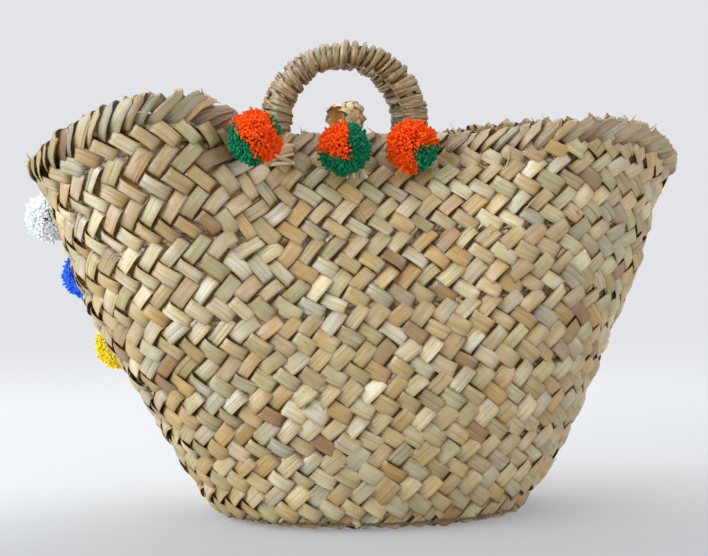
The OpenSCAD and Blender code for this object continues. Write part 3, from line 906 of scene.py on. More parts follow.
def loose_ends(strands, rng):
    """Thin fibres that stand off the plait and the rim."""
    one = (FIBRES, 1)
    on_rim = rng.random(one) < ON_RIM
    t = np.where(on_rim, ranged(rng.random(one), *RIM_STARTS), ranged(rng.random(one), *WALL_STARTS))
    u = rng.random(one)
    length = ranged(rng.random(one), *FIBRE_LENGTH)
    lean = np.where(rng.random(one) < LEANS_RIGHT, 1, -1)*ranged(rng.random(one), *FIBRE_LEAN)
    step = np.linspace(0, 1, FIBRE_STEPS)
    bow = FIBRE_BOW*(rng.random(one) - 0.5)
    place, up, out = wall_sheet(t, u)
    round_ = np.cross(up, out)
    ahead = unit(up*np.cos(lean)[..., None] + round_*np.sin(lean)[..., None])
    across = np.cross(out, ahead)
    height = FIBRE_OUT + np.where(on_rim, RIM_LIFT, WALL_LIFT)*step + FIBRE_LIFT*rng.random(one)**3*step**2
    path = (place + ahead*(length*step)[..., None] + across*(length*bow*step**2)[..., None]
            + out*height[..., None])
    twist = FIBRE_TWIST*rng.random(one)*np.ones(FIBRE_STEPS)
    side, front = lay(path, np.broadcast_to(out, path.shape), twist)
    half = ranged(rng.random(one), *FIBRE_HALF)*(FIBRE_TIP - step**2)
    strands.leaves(path, side, front, half, FIBRE_THICK, FIBRE_CROWN, leaf_tints(rng, FIBRES, 1))


def straw_tuft(strands, rng):
    """Pale leaf ends that hang from the plait under the middle pompom."""
    t = np.linspace(TUFT_TOP, TUFT_FOOT, TUFT_STEPS)
    for k in range(TUFT_ENDS):
        luck = rng.random(4)
        x = TUFT_X + (t[0] - t)/TUFT_LONG*(TUFT_FIRST + TUFT_GAP*k + 2*luck[0])
        place, _, _, out = wall_frame(t, np.array([angle_at(a, b, -1) for a, b in zip(t, x)]))
        height = TUFT_OUT + TUFT_LIFT*luck[1]*np.sin(np.linspace(0.2, math.pi, TUFT_STEPS))
        half = ranged(luck[3], *TUFT_HALF)*np.linspace(0.8, 1, TUFT_STEPS)
        strands.leaf(place + out*height[:, None], out, FIBRE_TWIST*(luck[2] - 0.5), half, 0.5, 0.4,
                     leaf_tints(rng, 1, 1, LOOP_SHARES))


# Cords, ropes and windings

# Cords: plies, their reach from the middle, radius and pitch
CORD_PLIES = (2, 0.5, 0.6, 7)
CORD_CORNERS = 5
CORD_SEAT = 1.45
BASE_CORD_STEPS = 241
ROPE_PLIES = (4, 3.2, 3.1, 38)
ROPE_STEPS = 110
ROPE_PAST = 3
TIE_PLIES = (2, 0.75, 0.8, 6)
KNOT_PLIES = (2, 0.7, 0.75, 6)
# Winding: turns, room at its ends, climb of a turn, second layer, half width and how much of it is doubled
WIND_TURNS = 34
WIND_ENDS = 3.0
WIND_CLIMB = (1.2, 1.0)
WIND_LAYER = 0.8
WIND_HALF = 2.2
WIND_NARROWER = 1.0
WIND_SHARE = 0.4
WIND_STRAY = 0.3
# Leaves that cross at the feet of a handle
FOOT_WRAPS = 9
FOOT_FIRST = 1.5
FOOT_GAP = 2.1
FOOT_SLANT = 9
FOOT_HALF = 1.6
FOOT_CROWN = 0.3
# One turn of leaf: steps, turns to each side, how far its ends tuck in and how uneven it lies
WRAP_STEPS = 27
WRAP_REACH = 0.56
WRAP_TUCK = 1.2
WRAP_PHASE = 6
WRAP_THICK = 1.0
WRAP_CROWN = 1.3
# Tail: plies as above for a radius of 1, turns of the leaf round it and its half width
TAIL_PLIES = (5, 0.52, 0.42)
TAIL_PITCH = 46
TAIL_STEPS = 30
TAIL_TURNS = 4.6
TAIL_WIND_STEPS = 90
TAIL_HALF = 2.7
# Lashing: leaves, their distance, first height, how loosely they lie and how they slope
LASHINGS = 6
LASH_FIRST = 7.5
LASH_GAP = 2.7
LASH_ROOM = 0.7
LASH_PAST = 1.6
LASH_WIDTH = (0.94, 0.3)
LASH_SLOPE = 0.9
LASH_STRAY = 1.4
LASH_TWIST = 1.1
LASH_HALF = (1.2, 0.6)
BOW_STEPS = 13
SIDE_STEPS = 5
SHUT_STEPS = 9
# Fibres of a bend: how many, reach up and down, distance from the middle and half width for a radius of 1
BEND_FIBRES = 12
BEND_REACH = 11
BEND_OUT = (0.80, 0.06)
BEND_HALF = 0.32


def twisted(strands, path, face, kind, tints, corners=6):
    """Plies that turn round a path, one turn in each pitch."""
    plies, reach, radius, pitch = kind
    turn = lengths(path)*FULL_TURN/pitch
    side, front = lay(path[None], face[None])
    for k in range(plies):
        a = (turn + k*FULL_TURN/plies)[:, None]
        spoke = side[0]*np.cos(a) + front[0]*np.sin(a)
        strands.yarns((path + spoke*reach)[None], spoke[None], radius, tints[None, k:k + 1], corners)


def arch_line(length, leg):
    """Middle line of a handle and its direction, at lengths from the bend of its right leg."""
    turn = np.clip((length - leg)/HANDLE_HALF, 0, math.pi)
    rest = np.clip(length - leg - math.pi*HANDLE_HALF, 0, None)
    x = HANDLE_HALF*np.cos(turn)
    z = HANDLE_HALF*np.sin(turn) + np.minimum(length - leg, 0) - rest
    ahead = np.stack([-np.sin(turn), np.zeros_like(turn), np.cos(turn)], -1)
    return np.stack([x, np.zeros_like(x), z], -1), ahead


def handle_frame(side):
    return np.array([HANDLE_X, side*HANDLE_Y, ARCH_Z]), ARCH_Z - HANDLE_Z


def wind_handle(strands, side, rng):
    """Narrow leaves wound round a handle's rope, each turn lapped over the last."""
    middle, leg = handle_frame(side)
    run = 2*leg + math.pi*HANDLE_HALF
    for k in range(WIND_TURNS):
        for ply in range(2):
            luck = rng.random(4)
            start = k + 0.5*ply + WIND_STRAY*(luck[0] - 0.5)
            length = WIND_ENDS + (run - 2*WIND_ENDS)*start/WIND_TURNS
            if ply == 0 or luck[3] < WIND_SHARE:
                wrap(strands, middle, leg, length, ranged(luck[1], *WIND_CLIMB)*run/WIND_TURNS,
                     WIND_LAYER*ply + WIND_LAYER*luck[2], WIND_HALF - WIND_NARROWER*ply, rng)
    for foot in (0, 1):
        for k in range(FOOT_WRAPS):
            length = FOOT_FIRST + FOOT_GAP*k + 2*rng.random()
            slant = (FOOT_SLANT if k % 2 else -FOOT_SLANT)*ranged(rng.random(), 0.5, 0.6)
            wrap(strands, middle, leg, run - length if foot else length, slant, 0.5*(k % 3)/2, FOOT_HALF,
                 rng, FOOT_CROWN)


def wrap(strands, middle, leg, length, climb, out, half, rng, crown=WRAP_CROWN):
    """One turn of leaf round a handle, that climbs along it and tucks under at its ends."""
    luck = rng.random(8)
    phase = luck*WRAP_PHASE
    turn = np.linspace(-WRAP_REACH, WRAP_REACH, WRAP_STEPS)
    a = (turn + luck[0])*FULL_TURN
    sway = 0.5*np.sin(a + phase[1]) + 0.3*np.sin(2*a + phase[2])
    spot, ahead = arch_line(length + turn*climb + sway, leg)
    inward = np.cross(ahead, (0, 1, 0))
    spoke = inward*np.cos(a)[:, None] + np.array([0, 1, 0])*np.sin(a)[:, None]
    tucked = WRAP_TUCK*(np.abs(turn)/WRAP_REACH)**6
    bump = 0.3*np.sin(3*a + phase[3]) + 0.25*np.sin(2*a + phase[4])
    r = ROPE_R + 0.1 + 0.7*out + bump - tucked
    wide = half*ranged(luck[6], 0.75, 0.5)*(1 + 0.15*np.sin(2*a + phase[7]))
    strands.leaf(middle + spot + spoke*r[:, None], spoke, 0.7*(luck[5] - 0.4), wide, WRAP_THICK,
                 crown*ranged(luck[1], 1, 0.7), leaf_tints(rng, 1, 1, WRAP_SHARES))


def seat(t, x, side, r):
    """Middle of a rope of radius r that lies against the inside of the wall."""
    place, _, _, out = wall_frame(t, angle_at(t, x, side))
    return place - out*(SHELL/2 + RIM_ROLL + GAP + r)


def tail_axes(pivot, x, side, r):
    """Directions across, out of and up a tail that hangs from a pivot inside the wall."""
    up = unit(np.asarray(pivot, float) - seat(TAIL_FOOT, x, side, r))
    out = unit(np.cross((1, 0, 0), up))*(1 if side < 0 else -1)
    return np.cross(out, up), out, up


def spokes(turn, first, second):
    """Directions that turn from a first to a second, square to it, in a quarter turn."""
    return first*np.cos(turn*FULL_TURN)[:, None] + second*np.sin(turn*FULL_TURN)[:, None]


def tail(strands, pivot, x, side, r, rng):
    """Bundle of leaves, wound round, that hangs inside the wall."""
    across, out, up = tail_axes(pivot, x, side, r)
    shades = leaf_shades()[ROPE_SHADES]
    path = pivot + up*np.linspace(-TAIL_LENGTH, -r*0.55, TAIL_STEPS)[:, None]
    plies, reach, thick = TAIL_PLIES
    twisted(strands, path, np.broadcast_to(out, path.shape), (plies, r*reach, r*thick, TAIL_PITCH),
            plain_tints(rng, plies, shades))
    turn = np.linspace(0, TAIL_TURNS, TAIL_WIND_STEPS)
    spoke = spokes(turn, across, out)
    rise = -TAIL_LENGTH + 4 + (TAIL_LENGTH - r - 6)*turn/TAIL_TURNS
    wound = pivot + up*rise[:, None] + spoke*(r*0.98)
    strands.leaf(wound, spoke, 0.08, TAIL_HALF, 0.5, 0.2, plain_tints(rng, 1, shades)[None])


def lash(strands, pivot, x, side, r, rise, rng):
    """Leaves that bind a tail to the wall through the plait."""
    across, out, up = tail_axes(pivot, x, side, r)
    hole = r + GAP + LASH_ROOM
    deep = hole + RIM_ROLL + SHELL + LASH_PAST
    a = np.linspace(math.pi, FULL_TURN, BOW_STEPS)
    straight = np.linspace(0.15, 0.93, SIDE_STEPS)[:, None]*deep
    face = np.vstack([np.stack([np.cos(a), np.sin(a)], -1), np.tile([1, 0], (SIDE_STEPS, 1)),
                      np.tile([0, 1], (SHUT_STEPS, 1)), np.tile([-1, 0], (SIDE_STEPS + 2, 1))])
    lean = across*face[:, :1] + out*face[:, 1:]
    for k in range(LASHINGS):
        wide = hole*ranged(rng.random(), *LASH_WIDTH)
        bow = np.stack([wide*np.cos(a), hole*np.sin(a)], -1)
        right = np.hstack([np.full_like(straight, wide), straight])
        ends = np.linspace(wide*0.93, -wide*0.93, SHUT_STEPS)
        shut = np.stack([ends, deep + 0.3 + 1.2*rng.random()*np.cos(ends/wide*1.5)], -1)
        flat = np.vstack([bow, right, shut, right[::-1]*(-1, 1), bow[:2]])
        slope = (rng.random() - 0.5)*LASH_SLOPE
        high = -rise - LASH_FIRST - LASH_GAP*k + (rng.random() - 0.5)*LASH_STRAY
        level = high + slope*flat[:, :1]*np.clip(flat[:, 1:]/deep, 0, 1)
        path = pivot + across*flat[:, :1] + out*flat[:, 1:] + up*level
        twist = LASH_TWIST*(rng.random() - 0.5)
        half = ranged(rng.random(), *LASH_HALF)
        tint = plain_tints(rng, 1, leaf_shades()[LASH_SHADES], 0.1)[None]
        strands.leaf(path, lean, twist, half, 0.8, 0.25, tint)


def bend(strands, pivot, rng, r):
    """Fibres that run from a tail into the leg over it."""
    length = np.linspace(-BEND_REACH, BEND_REACH, 13)
    shades = leaf_shades()[ROPE_SHADES]
    for k in range(BEND_FIBRES):
        a = k*FULL_TURN/BEND_FIBRES
        spoke = np.array([math.cos(a), math.sin(a), 0])
        swell = r*ranged(rng.random(), *BEND_OUT)*np.ones_like(length)
        path = pivot + spoke*swell[:, None] + np.array([0, 0, 1])*length[:, None]
        strands.leaf(path, spoke, 0.0, r*BEND_HALF, 1.6, 0.3, plain_tints(rng, 1, shades)[None])


# Braided loop: angle at which its eye starts, place of its foot, columns and rows, height and leaf width
EYE_START = -38
LOOP_FOOT = (2.0, -2.5)
LOOP_STEPS = 120
LOOP_SMOOTH = 6
LOOP_PLAIT = (9, 6)
LOOP_LEAF = (1.2, 5.6)
NECK_TURNS = 3.3
NECK_STEPS = 70
NECK_CLIMB = 2.1


def loop_axes():
    """Directions of the closing loop: across its eye, along its width and up it."""
    lean, turn = math.radians(LOOP_LEAN), math.radians(LOOP_TURN)
    tip = np.array([[1, 0, 0], [0, math.cos(lean), -math.sin(lean)], [0, math.sin(lean), math.cos(lean)]])
    spin = np.array([[math.cos(turn), -math.sin(turn), 0], [math.sin(turn), math.cos(turn), 0], [0, 0, 1]])
    return (tip @ spin).T


def loop_line():
    """Line of the loop, up, round its eye and down, with its outward directions, across and up."""
    r = LOOP_R - BRAID_THICK/2 + 0.5
    a = np.linspace(math.radians(EYE_START), math.radians(180 - EYE_START), 60)
    arc = np.stack([r*np.cos(a), LOOP_HEIGHT + r*np.sin(a)], -1)
    foot = np.stack([np.linspace(LOOP_FOOT[k], arc[0, k], 14)[:-1] for k in (0, 1)], -1)
    line = np.vstack([foot, arc, foot[::-1]*(-1, 1)])
    for _ in range(LOOP_SMOOTH):
        line[1:-1] = (line[:-2] + 2*line[1:-1] + line[2:])/4
    length = lengths(line)
    even = np.linspace(0, length[-1], LOOP_STEPS)
    line = np.stack([np.interp(even, length, line[:, k]) for k in (0, 1)], -1)
    ahead = unit(np.gradient(line, axis=0))
    return np.column_stack([line, ahead[:, 1], -ahead[:, 0]])


LOOP_LINE = loop_line()


def loop_sheet(t, u):
    """Place, across and out of the loop's flat braid, u along it and t across it."""
    x_way, y_way, z_way = loop_axes()
    found = along_line(LOOP_LINE, np.clip(u, 0, 1)*(len(LOOP_LINE) - 1))
    x, z, out_x, out_z = (found[..., k:k + 1] for k in range(4))
    wide = BRAID_WIDTH*ranged(ease((z - 1)/8), 0.5, 0.54)
    place = np.array(LOOP_PIVOT) + x_way*x + z_way*z + y_way*(np.asarray(t)[..., None] - 0.5)*wide
    out = x_way*out_x + z_way*out_z
    return place, np.broadcast_to(y_way, out.shape), out


def braid_loop(strands, rng):
    """Flat braid that goes up, round the eye and back down to the bound neck."""
    open_plait(strands, loop_sheet, *LOOP_PLAIT, rng, *LOOP_LEAF, LOOP_SHARES)
    x_way, y_way, z_way = loop_axes()
    turn = np.linspace(0, NECK_TURNS, NECK_STEPS)
    spoke = spokes(turn, x_way, y_way)
    rise = -1.5 + NECK_CLIMB*turn
    path = np.array(LOOP_PIVOT) + z_way*rise[:, None] + spoke*(NECK_R + 0.9)
    strands.leaf(path, spoke, 0.12, 1.9, 0.8, 0.3, leaf_tints(rng, 1, 1, LOOP_SHARES))


# Pompoms

BALL_ENDS = 2400
# Sections of a yarn end: share of its length, radius and tone, darker at the root as painted shade inside the
# ball and lighter at the tip as painted light
TUFT_SHARE = np.array([0.5, 0.8, 0.95, 1.0])
TUFT_THICK = np.array([0.6, 0.95, 1.1, 0.8])
TUFT_SHADE_TONE = np.array([0.95, 1.0, 1.06, 1.1])
TUFT_WIDTH = (0.74, 0.25)
TUFT_SWAY = 0.16
TUFT_CURL = 2.4
# Length of a yarn end for a ball's radius of 1, what luck and a few stray ends add and the ball's lumps
END_LENGTH = (0.89, 0.1)
STRAY_LENGTH = 0.13
STRAY_CURVE = 9
LUMP = 0.1
LUMP_WAVES = (5.3, 4.7, 6.1)
LUMP_STARTS = (2.1, 0.6, 1.3)
# Direction to the right as seen from a little left of the front
VIEW_RIGHT = (0.985, -0.174, 0)
# Green sides of a pompom: weights of right and high and the least sum of them, or the angles of a wedge
GREEN_SIDES = {
    "left": ((-0.8, -0.6, 0.33), (0.86, 0.5, 0.9)),
    "middle": ((1, 0.1, 0.22), (-0.35, -0.94, 0.38)),
}
GREEN_WEDGE = (-76, 6)


def ball_place(ball):
    """Root and centre of a pompom on the wall, direction round the wall and direction out of it."""
    if len(ball) > 2:
        angle, shift = angle_at(ball[0], ball[1], -1), ball[2]
    else:
        angle, shift = math.radians(ball[1]), 0
    place, along, up, out = wall_frame(ball[0], angle)
    return place, place + out*BALL_OUT - up*BALL_DROP + along*shift, along, out


def ball_directions(count):
    """Directions spread evenly over a ball."""
    k = np.arange(count) + 0.5
    high = 1 - 2*k/count
    turn = k*math.pi*(3 - math.sqrt(5))
    flat = np.sqrt(1 - high**2)
    return np.stack([flat*np.cos(turn), flat*np.sin(turn), high], -1)


def tufts(strands, centre, ways, rng, shades):
    """Cut ends of yarn that stand out from the middle of a ball."""
    count = len(ways)
    sway = unit(ways + (rng.random((count, 3)) - 0.5)*TUFT_SWAY)
    luck = rng.random((count, 1))
    lump = np.prod(np.sin(ways*LUMP_WAVES + LUMP_STARTS), axis=1, keepdims=True)
    tip = BALL_R*(ranged(luck, *END_LENGTH) + STRAY_LENGTH*luck**STRAY_CURVE + LUMP*lump)
    curl = np.cross(sway, rng.random((count, 3)) - 0.5)*TUFT_CURL
    path = sway[:, None]*(tip*TUFT_SHARE)[..., None] + curl[:, None]*(TUFT_SHARE**3)[None, :, None]
    thick = ranged(rng.random((count, 1)), *TUFT_WIDTH)*TUFT_THICK
    face = np.broadcast_to(np.cross(sway, np.roll(sway, 1, axis=1))[:, None] + 0.01, path.shape)
    tint = np.repeat(plain_tints(rng, count, shades, 0.12)[:, None], len(TUFT_SHARE), axis=1)
    # Painted shade towards the root of each yarn end and painted light at its tip
    tint[..., :3] *= TUFT_SHADE_TONE[:, None]
    strands.yarns(centre + path, face, thick, tint, 4)


def green_part(name, ways):
    """Which ends of a two-coloured pompom are green."""
    right, high = ways @ VIEW_RIGHT, ways @ (0, 0, 1)
    if name in GREEN_SIDES:
        return np.any([a*right + b*high > least for a, b, least in GREEN_SIDES[name]], axis=0)
    turn = np.degrees(np.arctan2(high, right))
    return (turn - GREEN_WEDGE[0]) % 360 < GREEN_WEDGE[1] - GREEN_WEDGE[0]


# Finishes

# Noise of leaves and yarn: stretch across and along a strand, scale, detail and roughness
VEINS = ((4.2, 0.9, 1), 2.2, 3, 0.65)
BROAD = ((0.9, 3.6, 1), 1.7, 2, 0.5)
SPELLS = ((0.8, 4.4, 1), 1.9, 2, 0.5)
SPECKS = ((6, 9, 1), 1.4, 3, 0.7)
FINE = ((26, 2.2, 1), 2.4, 2, 0.6)
PLY = ((5, 60, 1), 1.5, 2, 0.6)
BLOTCHES = (55, 3, 0.6)
CLOUDS = (420, 2, 0.6)
# Share and colour of a leaf's warm spells, grey bloom lightened as a painted sheen, tan edges that are also
# painted shade at the gaps, and creases darkened as painted shade
WASHES = (
    (0.8, (0.98, 0.84, 0.56, 1)),
    (0.9, (1.04, 1.12, 1.36, 1)),
    (0.6, (0.66, 0.52, 0.34, 1)),
    (0.35, (0.70, 0.58, 0.42, 1)),
)
PLAIN = (1, 1, 1, 1)
LEAF_GLOSS = 0.26
STAIN_SHARE = 0.75
YARN_FUZZ = 0.06
# Floor: painted shade near the front, where the light falls off, least share of the backdrop's glow, and the
# places where each sets in, in metres
FRONT_SHADE = 0.55
LEAST_GLOW = 0.35
FRONT_REACH = (0.12, -0.15)
BACK_REACH = (0.1, 1.1)
FAR_REACH = (0.8, 1.8)
# How light the leaves of a slot are: the sewing cords are painted dark as painted shade in the gaps where
# they show, and the loop's braid is painted lighter as painted light on its side away from the lamps
LEAF_SHADE = {"palm_wrap": 0.58, "palm_rope": 0.6, "palm_cord": 0.2, "palm_braid": 1.75}
FINISHES = {}


class Value:
    """Output of a shader node that takes part in Python sums."""

    def __init__(self, paint, socket):
        self.paint = paint
        self.socket = socket

    def sum(self, operation, first, second):
        return self.paint.sum(operation, first, second)

    def __add__(self, other):
        return self.sum("ADD", self, other)

    def __radd__(self, other):
        return self.sum("ADD", other, self)

    def __sub__(self, other):
        return self.sum("SUBTRACT", self, other)

    def __mul__(self, other):
        return self.sum("MULTIPLY", self, other)


class Paint:
    """Nodes of a material or of the world."""

    def __init__(self, owner):
        self.owner = owner
        owner.use_nodes = True
        self.tree = owner.node_tree
        self.tree.nodes.clear()

    def node(self, kind, settings=None, inputs=None, output=0):
        """Adds a node, makes its settings, fills its sockets and gives one of its outputs."""
        made = self.tree.nodes.new(kind)
        for key, value in (settings or {}).items():
            setattr(made, key, value)
        for key, value in (inputs or {}).items():
            if isinstance(value, Value):
                self.tree.links.new(value.socket, made.inputs[key])
            else:
                made.inputs[key].default_value = value
        return Value(self, made.outputs[output])

    def noise(self, vector, scale, detail, roughness):
        return self.node("ShaderNodeTexNoise", {},
                         {"Vector": vector, "Scale": scale, "Detail": detail, "Roughness": roughness})

    def streaks(self, vector, stretch, *kind):
        """Noise that is drawn out along a strand."""
        drawn = self.node("ShaderNodeMapping", {}, {"Vector": vector, "Scale": stretch})
        return self.noise(drawn, *kind)

    def sum(self, operation, *values):
        return self.node("ShaderNodeMath", {"operation": operation}, dict(enumerate(values)))

    def vector(self, operation, inputs, output=0):
        return self.node("ShaderNodeVectorMath", {"operation": operation}, inputs, output)

    def step(self, value, low, high):
        """Share that goes smoothly from 0 at low to 1 at high."""
        return self.node("ShaderNodeMapRange", {"interpolation_type": "SMOOTHSTEP"},
                         {"Value": value, "From Min": low, "From Max": high})

    def blend(self, share, first, second):
        """Colour between two colours."""
        return self.node("ShaderNodeMix", {"data_type": "RGBA"}, {"Factor": share, 6: first, 7: second}, 2)

    def shader(self, colour, roughness, **more):
        return self.node("ShaderNodeBsdfPrincipled", {},
                         {"Base Color": colour, "Roughness": roughness, **more})

    def end(self, shader, kind="ShaderNodeOutputMaterial"):
        """Ends the nodes in a shader and gives what they belong to."""
        last = self.tree.nodes.new(kind)
        self.tree.links.new(shader.socket, last.inputs["Surface"])
        return self.owner


def leaf_finish(name, shade):
    """Dry palm leaf: veins and folds along it, warm and grey spells with a painted sheen, tan edges darkened
    also as painted shade at the gaps, creases darkened as painted shade, and brown stains.
    """
    c = bpy.context.scene.basket_colours
    p = Paint(bpy.data.materials.new(name))
    tint = p.node("ShaderNodeAttribute", {"attribute_name": "tint"})
    seed = p.node("ShaderNodeAttribute", {"attribute_name": "tint"}, {}, 3)
    uv = p.node("ShaderNodeUVMap", {"uv_map": "strand"})
    place = p.node("ShaderNodeTexCoord", {}, {}, 3)
    shift = p.node("ShaderNodeCombineXYZ", {}, {0: seed*37, 1: seed*11, 2: seed*5})
    along = p.vector("ADD", {0: uv, 1: shift})
    across = p.node("ShaderNodeSeparateXYZ", {}, {0: uv}, 0)
    vein = p.step(p.streaks(along, *VEINS), 0.28, 0.72)
    broad = p.streaks(along, *BROAD)
    light = 0.60*shade + vein*0.26*shade + broad*0.54*shade
    spell = p.step(p.streaks(along, *SPELLS), 0.42, 0.68)
    # Grey bloom, lighter and bluer, partly a painted sheen
    bloom = p.step(broad, 0.48, 0.70)
    # Tan edges, darker also as painted shade in the gaps between leaves
    edge = p.step(p.sum("ABSOLUTE", across - 0.5), 0.33, 0.5)
    turned = p.sum("FRACT", across*1.1 + seed*9)
    # Creases, darker as painted shade in the folds
    crease = p.step(p.sum("ABSOLUTE", turned - 0.5), 0.08, 0.01)
    colour = p.vector("SCALE", {0: tint, 3: light})
    for share, (most, wash) in zip((spell, bloom, edge, crease), WASHES):
        colour = p.vector("MULTIPLY", {0: colour, 1: p.blend(share*most, PLAIN, wash)})
    spots = p.noise(place, *BLOTCHES)*0.55 + p.streaks(along, *SPECKS)*0.45
    stained = p.step(spots, 0.60, 0.72)*p.step(seed, 0.35, 0.9)*STAIN_SHARE
    colour = p.blend(stained, colour, (*c.stain, 1))
    height = vein*0.5 + p.streaks(along, *FINE)*0.3 - crease*0.6
    bump = p.node("ShaderNodeBump", {}, {"Strength": 0.4, "Distance": 0.0006, "Height": height})
    return p.end(p.shader(colour, LEAF_GLOSS + vein*0.2, Normal=bump, **{"Specular IOR Level": 1.0}))


def yarn_finish(name):
    """Wool yarn: a little lighter and darker along each end, with a soft bloom."""
    p = Paint(bpy.data.materials.new(name))
    tint = p.node("ShaderNodeAttribute", {"attribute_name": "tint"})
    uv = p.node("ShaderNodeUVMap", {"uv_map": "strand"})
    place = p.node("ShaderNodeTexCoord", {}, {}, 3)
    ply = p.streaks(uv, *PLY)
    cloud = p.noise(place, *CLOUDS)
    colour = p.vector("SCALE", {0: tint, 3: 0.72 + ply*0.3 + cloud*0.26})
    height = cloud*0.6 + ply*0.4
    bump = p.node("ShaderNodeBump", {}, {"Strength": 0.6, "Distance": 0.0005, "Height": height})
    soft = {"Sheen Weight": YARN_FUZZ, "Sheen Roughness": 0.5, "Specular IOR Level": 0.12}
    return p.end(p.shader(colour, 0.82 + cloud*0.12, Normal=bump, **soft))


def floor_finish(name):
    """Plain pale studio sweep with painted shade towards the front, where the light falls off, that shows as
    an even pale ground far behind the basket.
    """
    c = bpy.context.scene.basket_colours
    p = Paint(bpy.data.materials.new(name))
    place = p.node("ShaderNodeTexCoord", {}, {}, 3)
    grain = p.noise(place, 3, 2, 0.5)
    back = p.node("ShaderNodeSeparateXYZ", {}, {0: place}, 1)
    # Painted shade: the floor is darker towards the front, as the light falls off from the back
    front = p.step(back, *FRONT_REACH)
    front_shade_colour = [FRONT_SHADE*v for v in c.floor]
    colour = p.blend(front*0.9 + grain*0.1, (*c.floor, 1), (*front_shade_colour, 1))
    near = p.shader(colour, 0.9 + grain*0.05, **{"Specular IOR Level": 0.1})
    far = p.node("ShaderNodeEmission", {}, {"Color": (*c.backdrop, 1), "Strength": 1.0})
    off = p.vector("LENGTH", {0: place}, 1)
    depth = p.sum("MAXIMUM", p.step(back, *BACK_REACH), p.step(off, *FAR_REACH))
    share = p.sum("MAXIMUM", depth, LEAST_GLOW)*seen_ray(p)
    return p.end(p.node("ShaderNodeMixShader", {}, {0: share, 1: near, 2: far}))


def seen_ray(p):
    """1 for rays that show the ground to the camera, in a reflection or through something."""
    kinds = ("Camera", "Glossy", "Transmission")
    rays = [p.node("ShaderNodeLightPath", {}, {}, f"Is {kind} Ray") for kind in kinds]
    clamped = {"operation": "ADD", "use_clamp": True}
    return p.node("ShaderNodeMath", clamped, {0: rays[0] + rays[1], 1: rays[2]})


def finish(slot):
    """Material of a slot of the record, made when it is first asked for."""
    if slot not in FINISHES:
        if slot.endswith("_yarn"):
            FINISHES[slot] = yarn_finish(slot)
        else:
            FINISHES[slot] = leaf_finish(slot, LEAF_SHADE.get(slot, 1.0))
    return FINISHES[slot]


# What a user may change

class BasketSizes(bpy.types.PropertyGroup):
    """Sizes of the plaited leaves."""

    leaf_width: bpy.props.FloatProperty(
        name="Leaf width", description="Width of a plaited leaf", default=0.0105, unit="LENGTH")
    leaf_pitch: bpy.props.FloatProperty(
        name="Leaf pitch", description="Length of wall for each leaf of one lean",
        default=0.0150, unit="LENGTH")
    plait_height: bpy.props.FloatProperty(
        name="Plait height", description="Height of a leaf over the middle of the plait",
        default=0.0019, unit="LENGTH")


def colour_property(label, words, red, green, blue):
    return bpy.props.FloatVectorProperty(
        name=label, description=words, subtype="COLOR", size=3, min=0, max=1,
        default=linear(red, green, blue))


class BasketColours(bpy.types.PropertyGroup):
    """Colours of leaves, yarns and stage."""

    straw: colour_property("Straw", "Most leaves", 192, 168, 118)
    cream: colour_property("Cream", "Palest leaves", 210, 195, 157)
    sage: colour_property("Sage", "Leaves with some green left", 185, 171, 122)
    honey: colour_property("Honey", "Yellow leaves", 192, 157, 95)
    blush: colour_property("Blush", "Leaves with a red tinge", 194, 162, 116)
    ash: colour_property("Ash", "Leaves with a grey bloom", 190, 180, 152)
    umber: colour_property("Umber", "Brown leaves", 156, 118, 66)
    stain: colour_property("Stain", "Brown stains", 112, 70, 34)
    orange: colour_property("Orange", "Orange yarn", 242, 94, 4)
    flame: colour_property("Flame", "Darker orange yarn", 234, 68, 3)
    green: colour_property("Green", "Green yarn", 16, 136, 90)
    pine: colour_property("Pine", "Darker green yarn", 12, 106, 70)
    white: colour_property("White", "White yarn", 240, 243, 245)
    blue: colour_property("Blue", "Blue yarn", 52, 116, 226)
    yellow: colour_property("Yellow", "Yellow yarn", 240, 218, 52)
    floor: colour_property("Floor", "Floor round the basket", 222, 223, 225)
    backdrop: colour_property("Backdrop", "Ground far behind the basket", 227, 228, 231)


# Stage, in metres: the floor's width, length, front end, bend and radius of the bend
FLOOR_WIDTH = 12
FLOOR_LENGTH = 9.0
FLOOR_FRONT = 3.0
FLOOR_BEND = 4.6
FLOOR_RADIUS = 1.6
# Place, target, size, power and colour of each lamp
LAMPS = {
    "key": ((-2.3, -0.7, 1.2), (0, 0, 0.12), 2.4, 66, (0.88, 0.95, 1.0)),
    "side": ((-1.5, -0.45, 0.5), (-0.1, 0, 0.15), 0.9, 6, (0.86, 0.94, 1.0)),
    "fill": ((1.6, -1.5, 0.6), (0, 0, 0.1), 1.8, 19, (0.93, 0.97, 1.0)),
    "top": ((0.0, 0.6, 2.0), (0, 0, 0.1), 2.2, 30, (1.0, 1.0, 1.0)),
}
SKY_COLOUR = (0.94, 0.97, 1.0, 1)
SKY_POWER = 0.46
# Camera: distance, height, turn and aim, then focal length, middle and width of the picture in pixels
CAMERA_AWAY = 1.1
CAMERA_HEIGHT = 0.262
CAMERA_TURN = math.radians(-10)
CAMERA_AIM = (0, 0, 0.165)
FOCUS = 1560
CENTRE = 378
PICTURE = 708
SENSOR = 36

# First random seed of the courses and of the pompoms, and seeds of the other pieces
COURSE_SEED = 40
RIM_SEED = 7
FIBRE_SEED = 9
RING_SEED = 61
CORE_SEED = 62
CORD_SEED = 71
HANDLE_SEEDS = (("front", -1, 81), ("rear", 1, 91))
LOOP_SEED = 101
BALL_SEED = 120
# Pompom's tie: start over its root, share of the way to the centre and steps
TIE_START = 0.4
TIE_REACH = 0.5
TIE_STEPS = 12
# Knot inside the wall: distance from it, length of cord through the wall, and a yarn in a three-leaved ring
KNOT_IN = 3
KNOT_CORD = 6.5
KNOT_CORD_STEPS = 10
KNOT_STEPS = 60
KNOT_RING = (1.55, 0.62)
KNOT_SWAY = 0.8
KNOT_R = 0.95


# Pieces

